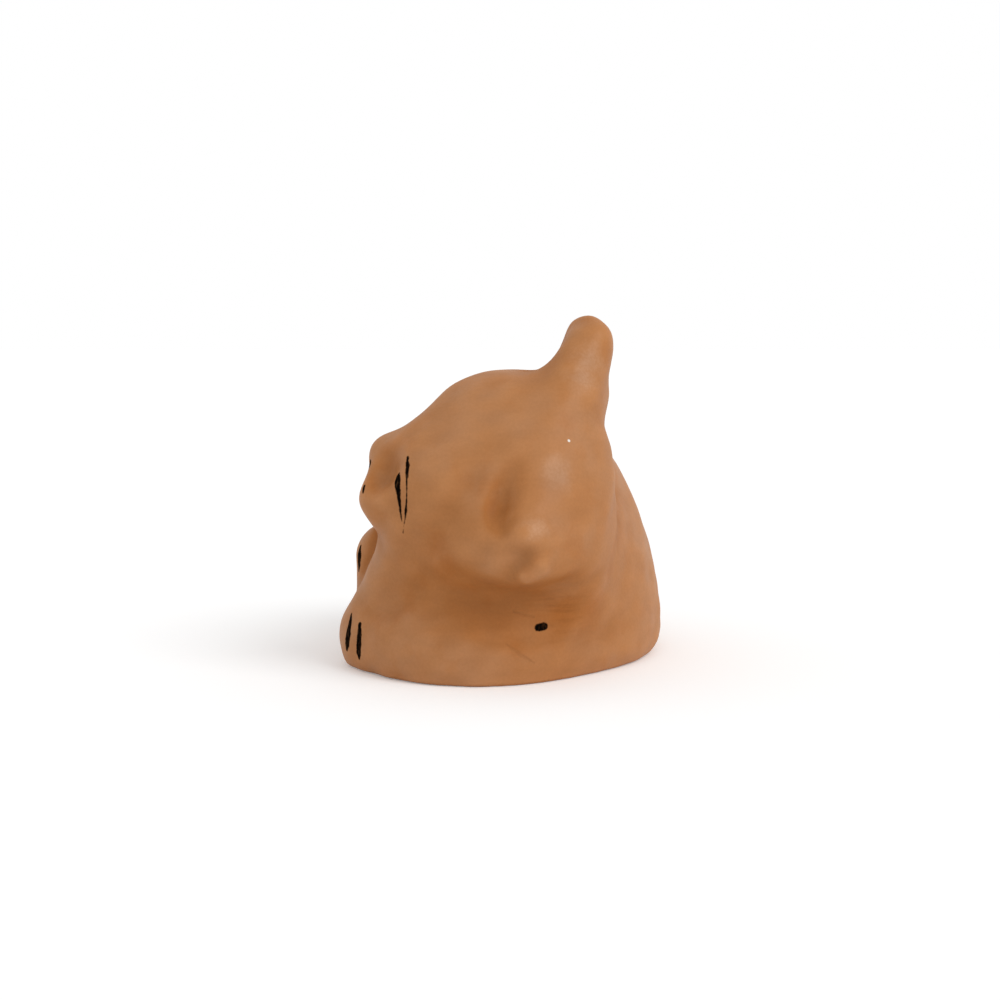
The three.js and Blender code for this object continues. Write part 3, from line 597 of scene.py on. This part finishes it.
def mesh_skin(field, low, step):
    """Meshes the zero level of a grid of distances: a vertex for each cell and a quad for each edge crossed.

    The vertex is the mean of the crossings on the cell's twelve edges, each at d0 / (d0 - d1) along its edge.
    """
    cells = np.array(field.shape) - 1
    inside = field < 0
    corners = [
        inside[i:cells[0] + i, j:cells[1] + j, k:cells[2] + k]
        for i in (0, 1) for j in (0, 1) for k in (0, 1)]
    crossed = np.argwhere(np.any(corners, axis=0) & ~np.all(corners, axis=0))
    number = np.full(tuple(cells), -1, np.int64)
    number[tuple(crossed.T)] = np.arange(len(crossed))
    total = np.zeros((len(crossed), 3))
    count = np.zeros(len(crossed))
    quads = []
    for axis in range(3):
        first, second = ((1, 2), (2, 0), (0, 1))[axis]
        along, step_first, step_second = np.eye(3, dtype=int)[[axis, first, second]]
        for corner in (0 * along, step_first, step_second, step_first + step_second):
            start = crossed + corner
            near = field[tuple(start.T)]
            far = field[tuple((start + along).T)]
            crossing = (near < 0) != (far < 0)
            share = near / np.where(crossing, near - far, 1)
            total += (start + share[:, None] * along) * crossing[:, None]
            count += crossing
        behind = inside[tuple(slice(0, -1) if other == axis else slice(None) for other in range(3))]
        ahead = inside[tuple(slice(1, None) if other == axis else slice(None) for other in range(3))]
        edge = np.argwhere(behind != ahead)
        loop = np.stack([
            number[tuple((edge - move).T)]
            for move in (step_first + step_second, step_second, 0 * along, step_first)], 1)
        outward = behind[tuple(edge.T)]
        quads.append(np.where(outward[:, None], loop, loop[:, ::-1]))
    return low + step * total / count[:, None], np.concatenate(quads)


# The skin as last modelled, with the sizes that it was modelled for
modelled = {}


def values_of(group):
    """Every value of a property group, as one flat tuple."""
    values = []
    for item in group.bl_rna.properties:
        if item.identifier in ("rna_type", "name"):
            continue
        value = getattr(group, item.identifier)
        values.extend(value if hasattr(value, "__len__") else (value,))
    return tuple(values)


def model_clay(cat):
    """The skin for the current sizes, kept until one changes, so that every piece is cut from the same skin.

    Shelter is how much of a short way r out of the clay other clay takes up, 1 - d(p + r n) / r, as a
    weighted mean over three such ways. Ridge is the mean distance at six places round about, over their
    reach: above 0 on ridges, below 0 in creases. Inside is 1 in the well, where the burnisher can't reach.
    """
    key = sum((values_of(group) for group in (cat.body, cat.head, cat.ears, cat.limbs)), ())
    if modelled.get("key") == key:
        return modelled
    low = np.array(CAD_BOX[0]) - FOOT - GRID_MARGIN
    high = np.array(CAD_BOX[1]) - FOOT + GRID_MARGIN
    counts = np.ceil((high - low) / GRID_STEP).astype(int) + 1
    lines = [low[axis] + GRID_STEP * np.arange(counts[axis]) for axis in range(3)]
    points = np.stack(np.meshgrid(*lines, indexing="ij"), -1).astype(np.float32)
    vertices, quads = mesh_skin(skin(points, cat), low, GRID_STEP)
    vertices = settle(vertices, cat)
    normals = slopes(vertices, cat)
    normals /= np.sqrt((normals ** 2).sum(-1, keepdims=True))
    shelter = np.zeros(len(vertices))
    for reach, weight in SHELTER_WAYS:
        shelter += weight * (1 - np.clip(skin(vertices + reach * normals, cat) / reach, 0, 1))
    well_fade = 0.002
    around = RIDGE_REACH * np.concatenate([np.eye(3), -np.eye(3)])
    modelled.update(
        key=key,
        vertices=vertices,
        normals=normals,
        quads=quads,
        owner=even_seams(quads, owners(vertices[quads].mean(1), cat)),
        shelter=shelter,
        ridge=sum(skin(vertices + move, cat) for move in around) / (len(around) * RIDGE_REACH),
        inside=np.clip(1.5 - well(vertices, cat.body) / well_fade, 0, 1),
    )
    return modelled


# Materials


def node(tree, kind, inputs=None, **settings):
    """Adds a node, sets its own settings, and fills its inputs with values or links from other sockets."""
    made = tree.nodes.new(kind)
    for key, value in settings.items():
        setattr(made, key, value)
    for key, value in (inputs or {}).items():
        socket = made.inputs[key]
        if isinstance(value, bpy.types.NodeSocket):
            tree.links.new(value, socket)
        elif socket.type == "RGBA" and len(value) == 3:
            socket.default_value = (*value, 1.0)
        else:
            socket.default_value = value
    return made


def math_node(tree, operation, first, second=0.0, clamp=False):
    """The result of one sum on two values."""
    made = node(tree, "ShaderNodeMath", {0: first, 1: second}, operation=operation, use_clamp=clamp)
    return made.outputs[0]


def vector_node(tree, operation, first, second=(0, 0, 0), output="Vector"):
    """The result of one sum on two vectors."""
    made = node(tree, "ShaderNodeVectorMath", {0: first, 1: second}, operation=operation)
    return made.outputs[output]


def distance_between(tree, first, second):
    """Distance from one place to another."""
    return vector_node(tree, "LENGTH", vector_node(tree, "SUBTRACT", first, second), output="Value")


def spread(tree, value, low, high, to_low=0.0, to_high=1.0):
    """A value carried from one range to another, smoothly and without overshoot."""
    return node(
        tree, "ShaderNodeMapRange",
        {"Value": value, "From Min": low, "From Max": high, "To Min": to_low, "To Max": to_high},
        interpolation_type="SMOOTHSTEP").outputs["Result"]


def noise(tree, vector, scale, detail=4.0, roughness=0.5, stretch=(1, 1, 1)):
    """Noise on object coordinates, with its grain drawn out along the axes whose stretch is less than one."""
    moved = vector_node(tree, "MULTIPLY", vector, stretch)
    return node(
        tree, "ShaderNodeTexNoise",
        {"Vector": moved, "Scale": scale, "Detail": detail, "Roughness": roughness}).outputs["Fac"]


def blend_colour(tree, share, first, second):
    """Two colours mixed by a share from 0 to 1."""
    made = node(tree, "ShaderNodeMix", data_type="RGBA")
    for key, value in (("Factor_Float", share), ("A_Color", first), ("B_Color", second)):
        socket = next(item for item in made.inputs if item.identifier == key)
        if isinstance(value, bpy.types.NodeSocket):
            tree.links.new(value, socket)
        else:
            socket.default_value = (*value, 1.0) if key != "Factor_Float" else value
    return next(item for item in made.outputs if item.identifier == "Result_Color")


def sums(tree):
    """Functions that multiply, add and subtract two values in a node tree, and one that spreads a value."""
    times, plus, less = (partial(math_node, tree, kind) for kind in ("MULTIPLY", "ADD", "SUBTRACT"))
    return times, plus, less, partial(spread, tree)


def new_group(name, inputs, outputs):
    """An empty node group with sockets named by kind, and the sockets for use inside it."""
    group = bpy.data.node_groups.new(name, "ShaderNodeTree")
    for in_out, kinds in (("INPUT", inputs), ("OUTPUT", outputs)):
        for kind, socket_names in kinds.items():
            for socket_name in socket_names:
                group.interface.new_socket(socket_name, in_out=in_out, socket_type=f"NodeSocket{kind}")
    given = group.nodes.new("NodeGroupInput").outputs
    result = group.nodes.new("NodeGroupOutput").inputs
    return group, given, result


def burnished_clay_group():
    """Colour, roughness, burnish and height of the clay: cloudy patches, fine grain, pits and scuffs.

    Clouds of about 20 mm turn the clay pale and smaller patches turn it to rust. Painted shade darkens and
    reddens it in hollows and creases, and painted highlight lightens it on ridges and in the sheen patches.
    The polish is weaker between the clouds and in hollows, and lost in pits and in the well.
    """
    group, given, result = new_group(
        "Burnished clay",
        {
            "Vector": ("Vector",),
            "Color": ("Clay", "Pale", "Rust", "Painted_Sheen", "Hollow"),
            "Float": (
                "Burnish", "Roughness", "Raw Roughness", "Shelter", "Ridge", "Inside", "Scratch", *PATCHES),
        },
        {"Color": ("Color",), "Float": ("Roughness", "Burnish", "Height")})
    times, plus, less, ranged = sums(group)
    vector = given["Vector"]
    clouds = noise(group, vector, 45.0, 2.0, 0.5)
    patches = noise(group, vector_node(group, "ADD", vector, (3.1, 1.7, 0.4)), 80.0, 3.0, 0.55)
    smears = noise(group, vector, 160.0, 2.0, 0.5, stretch=(1.0, 0.35, 1.6))
    grain = noise(group, vector, 1100.0, 3.0, 0.6)
    brushed = noise(group, vector, 420.0, 3.0, 0.6, stretch=(0.6, 0.10, 1.6))
    waves = noise(group, vector, 110.0, 1.0, 0.4)
    pits = node(
        group, "ShaderNodeTexVoronoi", {"Vector": vector, "Scale": 230.0, "Randomness": 1.0}, feature="F1")
    chance = node(group, "ShaderNodeSeparateColor", {0: pits.outputs["Color"]}).outputs[0]
    rare = ranged(chance, 0.955, 0.965)
    pit = times(ranged(pits.outputs["Distance"], 0.03, 0.09, 1.0, 0.0), rare)
    full_shelter = 0.28
    sheltered = math_node(group, "DIVIDE", given["Shelter"], full_shelter, clamp=True)

    # Pale clay in random clouds, and in the pink patches, some of which are painted highlight
    pale_share = math_node(group, "MAXIMUM", ranged(clouds, 0.42, 0.68, 0.0, 0.85), given["Pink Patch"])
    rust_share = math_node(group, "MAXIMUM", ranged(patches, 0.50, 0.74, 0.0, 0.50), given["Rust Patch"])
    # Painted sheen: lighter, greyer colour in the sheen patches, broken up by the grain
    painted_sheen_share = times(given["Painted Sheen Patch"], ranged(grain, 0.3, 0.7, 0.5, 0.8))
    mixed = blend_colour(group, pale_share, given["Clay"], given["Pale"])
    mixed = blend_colour(group, rust_share, mixed, given["Rust"])
    mixed = blend_colour(group, painted_sheen_share, mixed, given["Painted_Sheen"])
    # Painted shade: darker, redder colour where the clay is sheltered in hollows
    shade_tint = blend_colour(group, sheltered, (1, 1, 1), given["Hollow"])
    mixed = vector_node(group, "MULTIPLY", mixed, shade_tint)

    # Painted highlight and shade: the colour is lightened by up to 14 % on ridges and darkened by up to 10 %
    # in creases
    ridge_light_gain = 0.9
    crease_shade_limit = -0.10
    ridge_light_limit = 0.14
    scratch_shade_tone = 0.09
    ridge = math_node(group, "MAXIMUM", times(given["Ridge"], ridge_light_gain), crease_shade_limit)
    ridge = math_node(group, "MINIMUM", ridge, ridge_light_limit)
    streaks = times(ranged(brushed, 0.45, 0.70, 0.0, 0.14), given["Streak Patch"])
    # Painted shade: the scratches and the furrow are darkened in colour, besides being cut into the height
    scratched = times(given["Scratch"], scratch_shade_tone)
    tone = times(ranged(grain, 0.35, 0.70, 0.975, 1.025), ranged(smears, 0.3, 0.7, 0.97, 1.03))
    tone = times(tone, plus(ridge, 1.0))
    tone = times(tone, less(1.0, streaks))
    tone = times(tone, less(1.0, scratched))
    tone = times(tone, ranged(pit, 0.0, 1.0, 1.0, 0.78))
    toned = vector_node(group, "SCALE", mixed)
    group.links.new(tone, toned.node.inputs["Scale"])
    group.links.new(toned, result["Color"])

    rough = plus(given["Roughness"], ranged(smears, 0.3, 0.7, -0.05, 0.05))
    rough = plus(rough, times(less(given["Raw Roughness"], rough), given["Inside"]))
    group.links.new(rough, result["Roughness"])

    polish = times(given["Burnish"], ranged(clouds, 0.30, 0.65, 0.75, 1.0))
    polish = times(polish, ranged(grain, 0.30, 0.50, 0.85, 1.0))
    polish = times(polish, ranged(sheltered, 0.3, 1.0, 1.0, 0.35))
    polish = times(polish, ranged(given["Inside"], 0.0, 1.0, 1.0, 0.05))
    polish = times(polish, ranged(pit, 0.0, 1.0, 1.0, 0.2))
    group.links.new(polish, result["Burnish"])

    wave_height = 0.0003
    smear_height = 0.00005
    grain_height = 0.00001
    raw_grain_height = 0.00012
    pit_depth = 0.00012
    scratch_depth = 0.00015
    height = plus(times(waves, wave_height), times(smears, smear_height))
    coarse = plus(grain_height, times(given["Inside"], raw_grain_height))
    height = plus(height, times(grain, coarse))
    height = less(height, times(pit, pit_depth))
    height = less(height, times(given["Scratch"], scratch_depth))
    group.links.new(height, result["Height"])
    return group


def brush_stroke_group():
    """Distance to one stroke: |p - a - h (b - a)| less half a width that runs along it, h held to 0..1."""
    group, given, result = new_group(
        "Brush stroke",
        {"Vector": ("Vector", "Start", "End"), "Float": ("Start Width", "End Width")},
        {"Float": ("Distance",)})
    times, plus, less, _ = sums(group)
    from_start = vector_node(group, "SUBTRACT", given["Vector"], given["Start"])
    run = vector_node(group, "SUBTRACT", given["End"], given["Start"])
    along = vector_node(group, "DOT_PRODUCT", from_start, run, output="Value")
    square = vector_node(group, "DOT_PRODUCT", run, run, output="Value")
    share = math_node(group, "DIVIDE", along, square, clamp=True)
    nearest = vector_node(group, "SCALE", run)
    group.links.new(share, nearest.node.inputs["Scale"])
    change = less(given["End Width"], given["Start Width"])
    width = plus(given["Start Width"], times(change, share))
    away = distance_between(group, from_start, nearest)
    group.links.new(less(away, times(width, 0.5)), result["Distance"])
    return group


# Brush marks as rows of (x, y, z, width) in millimetres from the middle of the body's foot
NEAR_PUPIL = (
    (62.0, -35.1, 66.3, 1.0), (62.2, -35.6, 65.0, 3.0), (62.8, -35.7, 64.0, 3.2), (63.6, -35.5, 61.5, 2.1),
    (63.8, -35.1, 56.5, 1.1), (63.6, -34.3, 51.5, 0.4),
)
NEAR_LID = (
    (61.5, -32.6, 71.5, 0.9), (63.5, -32.5, 68.9, 1.7), (65.0, -32.6, 65.6, 1.1), (65.8, -32.6, 62.0, 0.5),
    (65.8, -32.7, 59.0, 0.7), (65.0, -33.1, 54.8, 1.2), (64.2, -33.4, 51.5, 0.4), (62.8, -34.0, 47.6, 0.2),
)
# The far eye and whisker lie round the far side of the face, where the photograph can't show them
FAR_PUPIL = (
    (38.4, -38.6, 77.5, 2.8), (37.2, -36.5, 77.9, 2.6), (35.2, -33.6, 78.3, 1.6), (33.2, -31.5, 78.8, 0.9),
    (31.2, -28.9, 79.8, 0.4),
)
FAR_LID = (
    (39.8, -36.6, 78.8, 0.9), (37.9, -32.3, 80.8, 1.5), (36.2, -30.6, 81.6, 0.6), (34.5, -29.4, 82.1, 1.1),
    (31.2, -26.2, 83.4, 0.3),
)
FAR_WHISKER = ((38.6, -45.5, 71.2, 1.3), (37.2, -45.4, 70.4, 1.3))
NOSE = ((47.5, -45.4, 67.6, 2.4), (46.4, -45.5, 68.3, 2.4))
MOUTH = ((46.4, -45.5, 67.0, 0.9), (42.5, -45.5, 64.3, 0.9))
NEAR_WHISKER = ((53.2, -47.0, 61.6, 1.3), (53.6, -46.9, 59.6, 1.3))
CLAWS = (
    ((43.9, -52.1, 18.4, 1.2), (44.8, -52.5, 16.0, 2.7), (45.4, -53.0, 12.5, 3.5), (45.2, -53.4, 8.8, 2.8),
     (44.5, -53.5, 6.7, 1.2)),
    ((50.0, -48.8, 16.1, 1.7), (51.0, -49.0, 12.9, 2.5), (50.9, -49.3, 9.6, 3.1), (50.3, -49.5, 6.8, 2.9),
     (49.9, -49.2, 5.1, 1.1)),
)
FAR_CLAWS = (
    ((27.3, -50.3, 38.6, 1.2), (27.6, -50.2, 36.0, 2.5), (27.2, -50.6, 32.8, 2.2), (26.4, -51.0, 30.2, 0.9)),
    ((19.0, -51.5, 38.6, 1.2), (18.8, -51.5, 36.0, 2.4), (18.9, -51.5, 32.8, 2.1), (19.4, -51.5, 30.2, 0.9)),
)
SIDE_DOT = ((66.5, 8.5, 18.1, 2.6), (65.9, 10.3, 18.4, 2.6))
# Scratches and furrows in the clay, as rows of the same kind
SCRATCHES = (
    ((65.9, 0.6, 23.2, 0.5), (66.0, 4.1, 21.9, 0.7), (65.7, 6.9, 21.4, 0.3)),
    ((71.4, -1.3, 13.4, 0.6), (70.5, 2.8, 10.1, 1.0), (68.6, 6.9, 7.2, 0.5)),
)
# Patches of other colour as rows of (x, y, z, radius), in the same millimetres
PATCHES = {
    # Pinker, lighter clay; the patches beside the near ear's hollow, on the muzzle and on the near foreleg
    # are painted highlight as well
    "Pink Patch": (
        (72.7, -10.3, 59.7, 8.5), (61.1, -17.6, 80.0, 14.0), (56.0, -39.0, 21.0, 11.0),
        (63.0, -32.0, 19.0, 10.0), (81.7, -6.6, 37.4, 4.0), (53.8, -41.8, 63.5, 7.0),
    ),
    "Rust Patch": (
        (70.2, -22.8, 44.1, 9.0), (72.3, -20.6, 39.7, 8.0), (64.0, 16.0, 24.0, 14.0),
        (60.0, 26.0, 22.0, 12.0),
    ),
    # Painted highlight and sheen: on the knob of the near ear, on the head beside it and along the standing
    # ear
    "Painted Sheen Patch": (
        (84.1, 7.7, 51.7, 6.0), (72.0, 14.5, 67.0, 8.0), (48.3, 25.3, 101.5, 9.0), (51.8, 22.9, 95.9, 8.0),
    ),
    "Streak Patch": ((64.3, 15.4, 23.9, 16.0),),
}
# A small white speck on the clay: place in millimetres, radius in metres, and colour
WHITE_SPECK = (65.3, 18.3, 77.2)
WHITE_SPECK_RADIUS = 0.00048
SPECK_WHITE = (0.85, 0.80, 0.74)
PAINT = (
    NEAR_PUPIL, NEAR_LID, FAR_PUPIL, FAR_LID, NOSE, MOUTH, NEAR_WHISKER, FAR_WHISKER, SIDE_DOT,
    *CLAWS, *FAR_CLAWS,
)


def on_clay(rows, cat):
    """Rows of place and size in metres in the model's frame, each place settled on the skin."""
    values = np.array(rows) / 1000
    return np.column_stack([settle(values[:, :3], cat) + FOOT, values[:, 3]])


def nearest_stroke(group, vector, stroke, strokes, cat):
    """Least distance to any of the strokes."""
    nearest = None
    for rows in strokes:
        placed_rows = on_clay(rows, cat)
        for first, second in zip(placed_rows[:-1], placed_rows[1:]):
            ends = {
                "Vector": vector, "Start": first[:3], "End": second[:3],
                "Start Width": first[3], "End Width": second[3],
            }
            away = node(group, "ShaderNodeGroup", ends, node_tree=stroke).outputs["Distance"]
            nearest = away if nearest is None else math_node(group, "MINIMUM", nearest, away)
    return nearest


def patch_share(group, vector, rows, cat):
    """Share of a patch's colour: most at its middle, none beyond its radius, with an edge that wanders."""
    times, plus, less, ranged = sums(group)
    edge_wander = 0.008
    share_at_middle = 0.85
    wander = times(less(noise(group, vector, 260.0), 0.5), edge_wander)
    most = None
    for x, y, z, radius in on_clay(rows, cat):
        away = plus(distance_between(group, vector, (x, y, z)), wander)
        share = ranged(away, 0.0, radius, share_at_middle, 0.0)
        most = share if most is None else math_node(group, "MAXIMUM", most, share)
    return most


def painted_marks_group(cat):
    """Shares of the surface that are paint, white speck, scratch or patch: distances frayed by noise."""
    group, given, result = new_group(
        "Painted marks", {"Vector": ("Vector",), "Float": ("Fray",)},
        {"Float": ("Paint", "White Speck", "Scratch", *PATCHES)})
    times, plus, less, ranged = sums(group)
    stroke = brush_stroke_group()
    vector = given["Vector"]
    fray_gain = 4.0
    wander = less(noise(group, vector, 700.0, 3.0, 0.6), 0.5)
    wander = times(wander, times(given["Fray"], fray_gain))
    frayed = plus(nearest_stroke(group, vector, stroke, PAINT, cat), wander)
    cover = ranged(frayed, -0.00030, 0.00022, 1.0, 0.0)
    thin = ranged(noise(group, vector, 1500.0, 2.0, 0.6, stretch=(1, 1, 0.3)), 0.25, 0.5, 0.90, 1.0)
    group.links.new(times(cover, thin), result["Paint"])
    scratch = plus(nearest_stroke(group, vector, stroke, SCRATCHES, cat), wander)
    group.links.new(ranged(scratch, -0.0003, 0.0005, 1.0, 0.0), result["Scratch"])
    speck = settle(np.array([WHITE_SPECK]) / 1000, cat)[0] + FOOT
    from_speck = distance_between(group, vector, speck)
    white_speck = ranged(from_speck, 0.6 * WHITE_SPECK_RADIUS, 1.3 * WHITE_SPECK_RADIUS, 1.0, 0.0)
    group.links.new(white_speck, result["White Speck"])
    for name, rows in PATCHES.items():
        group.links.new(patch_share(group, vector, rows, cat), result[name])
    return group


def clay_material(cat):
    """Burnished terracotta with its brush marks: one material for every piece, made once."""
    made = bpy.data.materials.get("Burnished terracotta")
    if made:
        return made
    made = bpy.data.materials.new("Burnished terracotta")
    made.use_nodes = True
    tree = made.node_tree
    shader = tree.nodes["Principled BSDF"]
    vector = node(tree, "ShaderNodeTexCoord").outputs["Object"]
    finish = cat.clay
    marks = node(
        tree, "ShaderNodeGroup", {"Vector": vector, "Fray": cat.paint.fray},
        node_tree=painted_marks_group(cat)).outputs
    inputs = {
        "Vector": vector, "Burnish": finish.burnish, "Roughness": finish.roughness,
        "Raw Roughness": finish.raw_roughness,
    }
    for name in ("clay", "pale", "rust", "painted_sheen", "hollow"):
        inputs[name.title()] = getattr(finish, name)
    for name in ("shelter", "ridge", "inside"):
        inputs[name.title()] = node(tree, "ShaderNodeAttribute", attribute_name=name).outputs["Fac"]
    for name in ("Scratch", *PATCHES):
        inputs[name] = marks[name]
    clay = node(tree, "ShaderNodeGroup", inputs, node_tree=burnished_clay_group()).outputs
    painted = blend_colour(tree, marks["Paint"], clay["Color"], cat.paint.black)
    painted = blend_colour(tree, marks["White Speck"], painted, SPECK_WHITE)
    tree.links.new(painted, shader.inputs["Base Color"])
    rough = node(
        tree, "ShaderNodeMix",
        {"Factor": marks["Paint"], "A": clay["Roughness"], "B": cat.paint.roughness}, data_type="FLOAT")
    tree.links.new(rough.outputs["Result"], shader.inputs["Roughness"])
    bump = node(tree, "ShaderNodeBump", {"Strength": 1.0, "Distance": 1.0, "Height": clay["Height"]})
    tree.links.new(bump.outputs["Normal"], shader.inputs["Normal"])
    bare = math_node(tree, "SUBTRACT", 1.0, marks["Paint"])
    tree.links.new(math_node(tree, "MULTIPLY", clay["Burnish"], bare), shader.inputs["Coat Weight"])
    shader.inputs["Coat Roughness"].default_value = finish.coat_roughness
    shader.inputs["Coat IOR"].default_value = 1.38
    shader.inputs["Specular IOR Level"].default_value = 0.0
    return made


# Pieces


def add_piece(context, name):
    """Puts one piece into the scene as a closed slab of clay that rides on the part's one body.

    The piece is its patch of the skin, the same patch pressed in by the slab's thickness and turned over,
    and a rim of quads along the patch's open edges. Normals come from the distance field, so that no joint
    shows.
    """
    cat = context.scene.cat_planter
    clay = model_clay(cat)
    used, corners = np.unique(clay["quads"][clay["owner"] == PIECES.index(name)], return_inverse=True)
    if not len(used):
        raise RuntimeError(f"No clay was left for the piece {name}")
    patch = corners.reshape(-1, 4)
    count = len(used)
    edges = np.stack([patch, np.roll(patch, -1, 1)], -1).reshape(-1, 2)
    is_open = ~np.isin(edges[:, 0] * count + edges[:, 1], edges[:, 1] * count + edges[:, 0])
    start, end = edges[is_open].T
    rim = np.stack([end, start, start + count, end + count], 1)
    faces = np.concatenate([patch, patch[:, ::-1] + count, rim])
    outer = clay["vertices"][used] + FOOT
    normals = clay["normals"][used]
    mesh = bpy.data.meshes.new(name)
    mesh.from_pydata(np.concatenate([outer, outer - SLAB * normals]).tolist(), [], faces.tolist())
    mesh.polygons.foreach_set("use_smooth", np.ones(len(faces), bool))
    for key in ("shelter", "ridge", "inside"):
        values = np.tile(clay[key][used], 2).astype(np.float32)
        mesh.attributes.new(key, "FLOAT", "POINT").data.foreach_set("value", values)
    mesh.normals_split_custom_set_from_vertices(np.concatenate([normals, -normals]).tolist())
    mesh.materials.append(clay_material(cat))
    piece = bpy.data.objects.new(f"clay_{name}", mesh)
    context.collection.objects.link(piece)
    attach(piece, "root")
    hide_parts(name)


class ClayOperator:
    """Adds the pieces of clay that an operator names."""

    def execute(self, context):
        for name in self.pieces:
            add_piece(context, name)
        return {"FINISHED"}


class CAT_OT_body(ClayOperator, bpy.types.Operator):
    """Adds the pot and its floor slab"""
    bl_idname = "cat_planter.body"
    bl_label = "Body and floor"
    pieces = ("body", "floor")


class CAT_OT_head(ClayOperator, bpy.types.Operator):
    """Adds the rolled head and its muzzle"""
    bl_idname = "cat_planter.head"
    bl_label = "Head and muzzle"
    pieces = ("head", "muzzle")


class CAT_OT_ears(ClayOperator, bpy.types.Operator):
    """Adds the standing ear and the ear that points to the near side"""
    bl_idname = "cat_planter.ears"
    bl_label = "Ears"
    pieces = ("far_ear", "near_ear")


class CAT_OT_limbs(ClayOperator, bpy.types.Operator):
    """Adds the shoulder, the forelegs and the tail"""
    bl_idname = "cat_planter.limbs"
    bl_label = "Shoulder, forelegs and tail"
    pieces = ("shoulder", "near_foreleg", "far_foreleg", "tail")


def seen_rays(tree):
    """1 for rays that show a surface to the camera or in a reflection, and 0 for those that light one."""
    path = node(tree, "ShaderNodeLightPath")
    mirrored = math_node(
        tree, "MAXIMUM", path.outputs["Is Glossy Ray"], path.outputs["Is Transmission Ray"])
    return math_node(tree, "MAXIMUM", path.outputs["Is Camera Ray"], mirrored)


def look_along(place_of, aim):
    """Rotation that points a camera or a lamp from one place to another."""
    return (Vector(aim) - Vector(place_of)).to_track_quat("-Z", "Y").to_euler()


def add_floor(context, stage):
    """A wide sheet of pale paper, which keeps the shadow and shows a little more than its own light."""
    half = 4.0
    corners = [(-half, -half, 0), (half, -half, 0), (half, half, 0), (-half, half, 0)]
    mesh = bpy.data.meshes.new("floor_sheet")
    mesh.from_pydata(corners, [], [(0, 1, 2, 3)])
    paper = bpy.data.materials.new("Pale paper")
    paper.use_nodes = True
    tree = paper.node_tree
    shader = tree.nodes["Principled BSDF"]
    shader.inputs["Base Color"].default_value = (*stage.floor_colour, 1.0)
    shader.inputs["Roughness"].default_value = 0.9
    shader.inputs["Specular IOR Level"].default_value = 0.0
    shader.inputs["Emission Color"].default_value = (1, 1, 1, 1)
    glow = math_node(tree, "MULTIPLY", seen_rays(tree), stage.floor_glow)
    tree.links.new(glow, shader.inputs["Emission Strength"])
    mesh.materials.append(paper)
    sheet = bpy.data.objects.new("floor_sheet", mesh)
    context.collection.objects.link(sheet)


def add_light(context, stage):
    """One soft light from the side."""
    lamp = bpy.data.lights.new("soft_light", "SUN")
    lamp.energy = stage.key_strength
    lamp.angle = stage.key_spread
    hung = bpy.data.objects.new("soft_light", lamp)
    hung.location = stage.key_from
    hung.rotation_euler = look_along(stage.key_from, (0, 0, 0))
    context.collection.objects.link(hung)


def add_surroundings(scene, stage):
    """A background that looks white and lights the planter at the sky's own strength."""
    world = bpy.data.worlds.new("White surroundings")
    world.use_nodes = True
    tree = world.node_tree
    sky = tree.nodes["Background"]
    sky.inputs["Color"].default_value = (1, 1, 1, 1)
    gain = math_node(tree, "MULTIPLY", seen_rays(tree), 1.0 - stage.sky_strength)
    tree.links.new(math_node(tree, "ADD", gain, stage.sky_strength), sky.inputs["Strength"])
    scene.world = world


def add_camera(context, stage):
    """A camera where the photograph's is judged to have stood."""
    camera = bpy.data.cameras.new("camera")
    camera.lens = stage.focal_length
    camera.sensor_width = 36.0
    camera.clip_start = 0.01
    stand = bpy.data.objects.new("camera", camera)
    stand.location = FOOT + np.array(stage.camera_place)
    stand.rotation_euler = look_along(stage.camera_place, stage.camera_aim)
    context.collection.objects.link(stand)
    context.scene.camera = stand


class CAT_OT_stage(bpy.types.Operator):
    """Adds the pale floor, the soft light, the white surroundings and the camera"""
    bl_idname = "cat_planter.stage"
    bl_label = "Stage"

    def execute(self, context):
        scene = context.scene
        stage = scene.cat_planter.stage
        add_floor(context, stage)
        add_light(context, stage)
        add_surroundings(scene, stage)
        add_camera(context, stage)
        scene.view_settings.view_transform = "Standard"
        return {"FINISHED"}


class CatPlanter(bpy.types.PropertyGroup):
    """All the settings of the planter."""
    body: PointerProperty(type=BodyForm)
    head: PointerProperty(type=HeadForm)
    ears: PointerProperty(type=EarsForm)
    limbs: PointerProperty(type=LimbsForm)
    clay: PointerProperty(type=ClayFinish)
    paint: PointerProperty(type=PaintFinish)
    stage: PointerProperty(type=StageSettings)


OPERATORS = (CAT_OT_stage, CAT_OT_body, CAT_OT_head, CAT_OT_ears, CAT_OT_limbs)


class CAT_PT_planter(bpy.types.Panel):
    """Lists the planter's operators in the sidebar."""
    bl_idname = "CAT_PT_planter"
    bl_label = "Cat planter"
    bl_space_type = "VIEW_3D"
    bl_region_type = "UI"
    bl_category = "Cat planter"

    def draw(self, context):
        for operator in OPERATORS:
            self.layout.operator(operator.bl_idname)


GROUPS = (BodyForm, HeadForm, EarsForm, LimbsForm, ClayFinish, PaintFinish, StageSettings, CatPlanter)
CLASSES = (*GROUPS, *OPERATORS, CAT_PT_planter)


def register():
    for item in CLASSES:
        bpy.utils.register_class(item)
    bpy.types.Scene.cat_planter = PointerProperty(type=CatPlanter)


def unregister():
    del bpy.types.Scene.cat_planter
    for item in reversed(CLASSES):
        bpy.utils.unregister_class(item)


def main():
    register()
    bpy.ops.cat_planter.stage()
    bpy.ops.cat_planter.body()
    bpy.ops.cat_planter.head()
    bpy.ops.cat_planter.ears()
    bpy.ops.cat_planter.limbs()


if __name__ == "__main__":
    main()
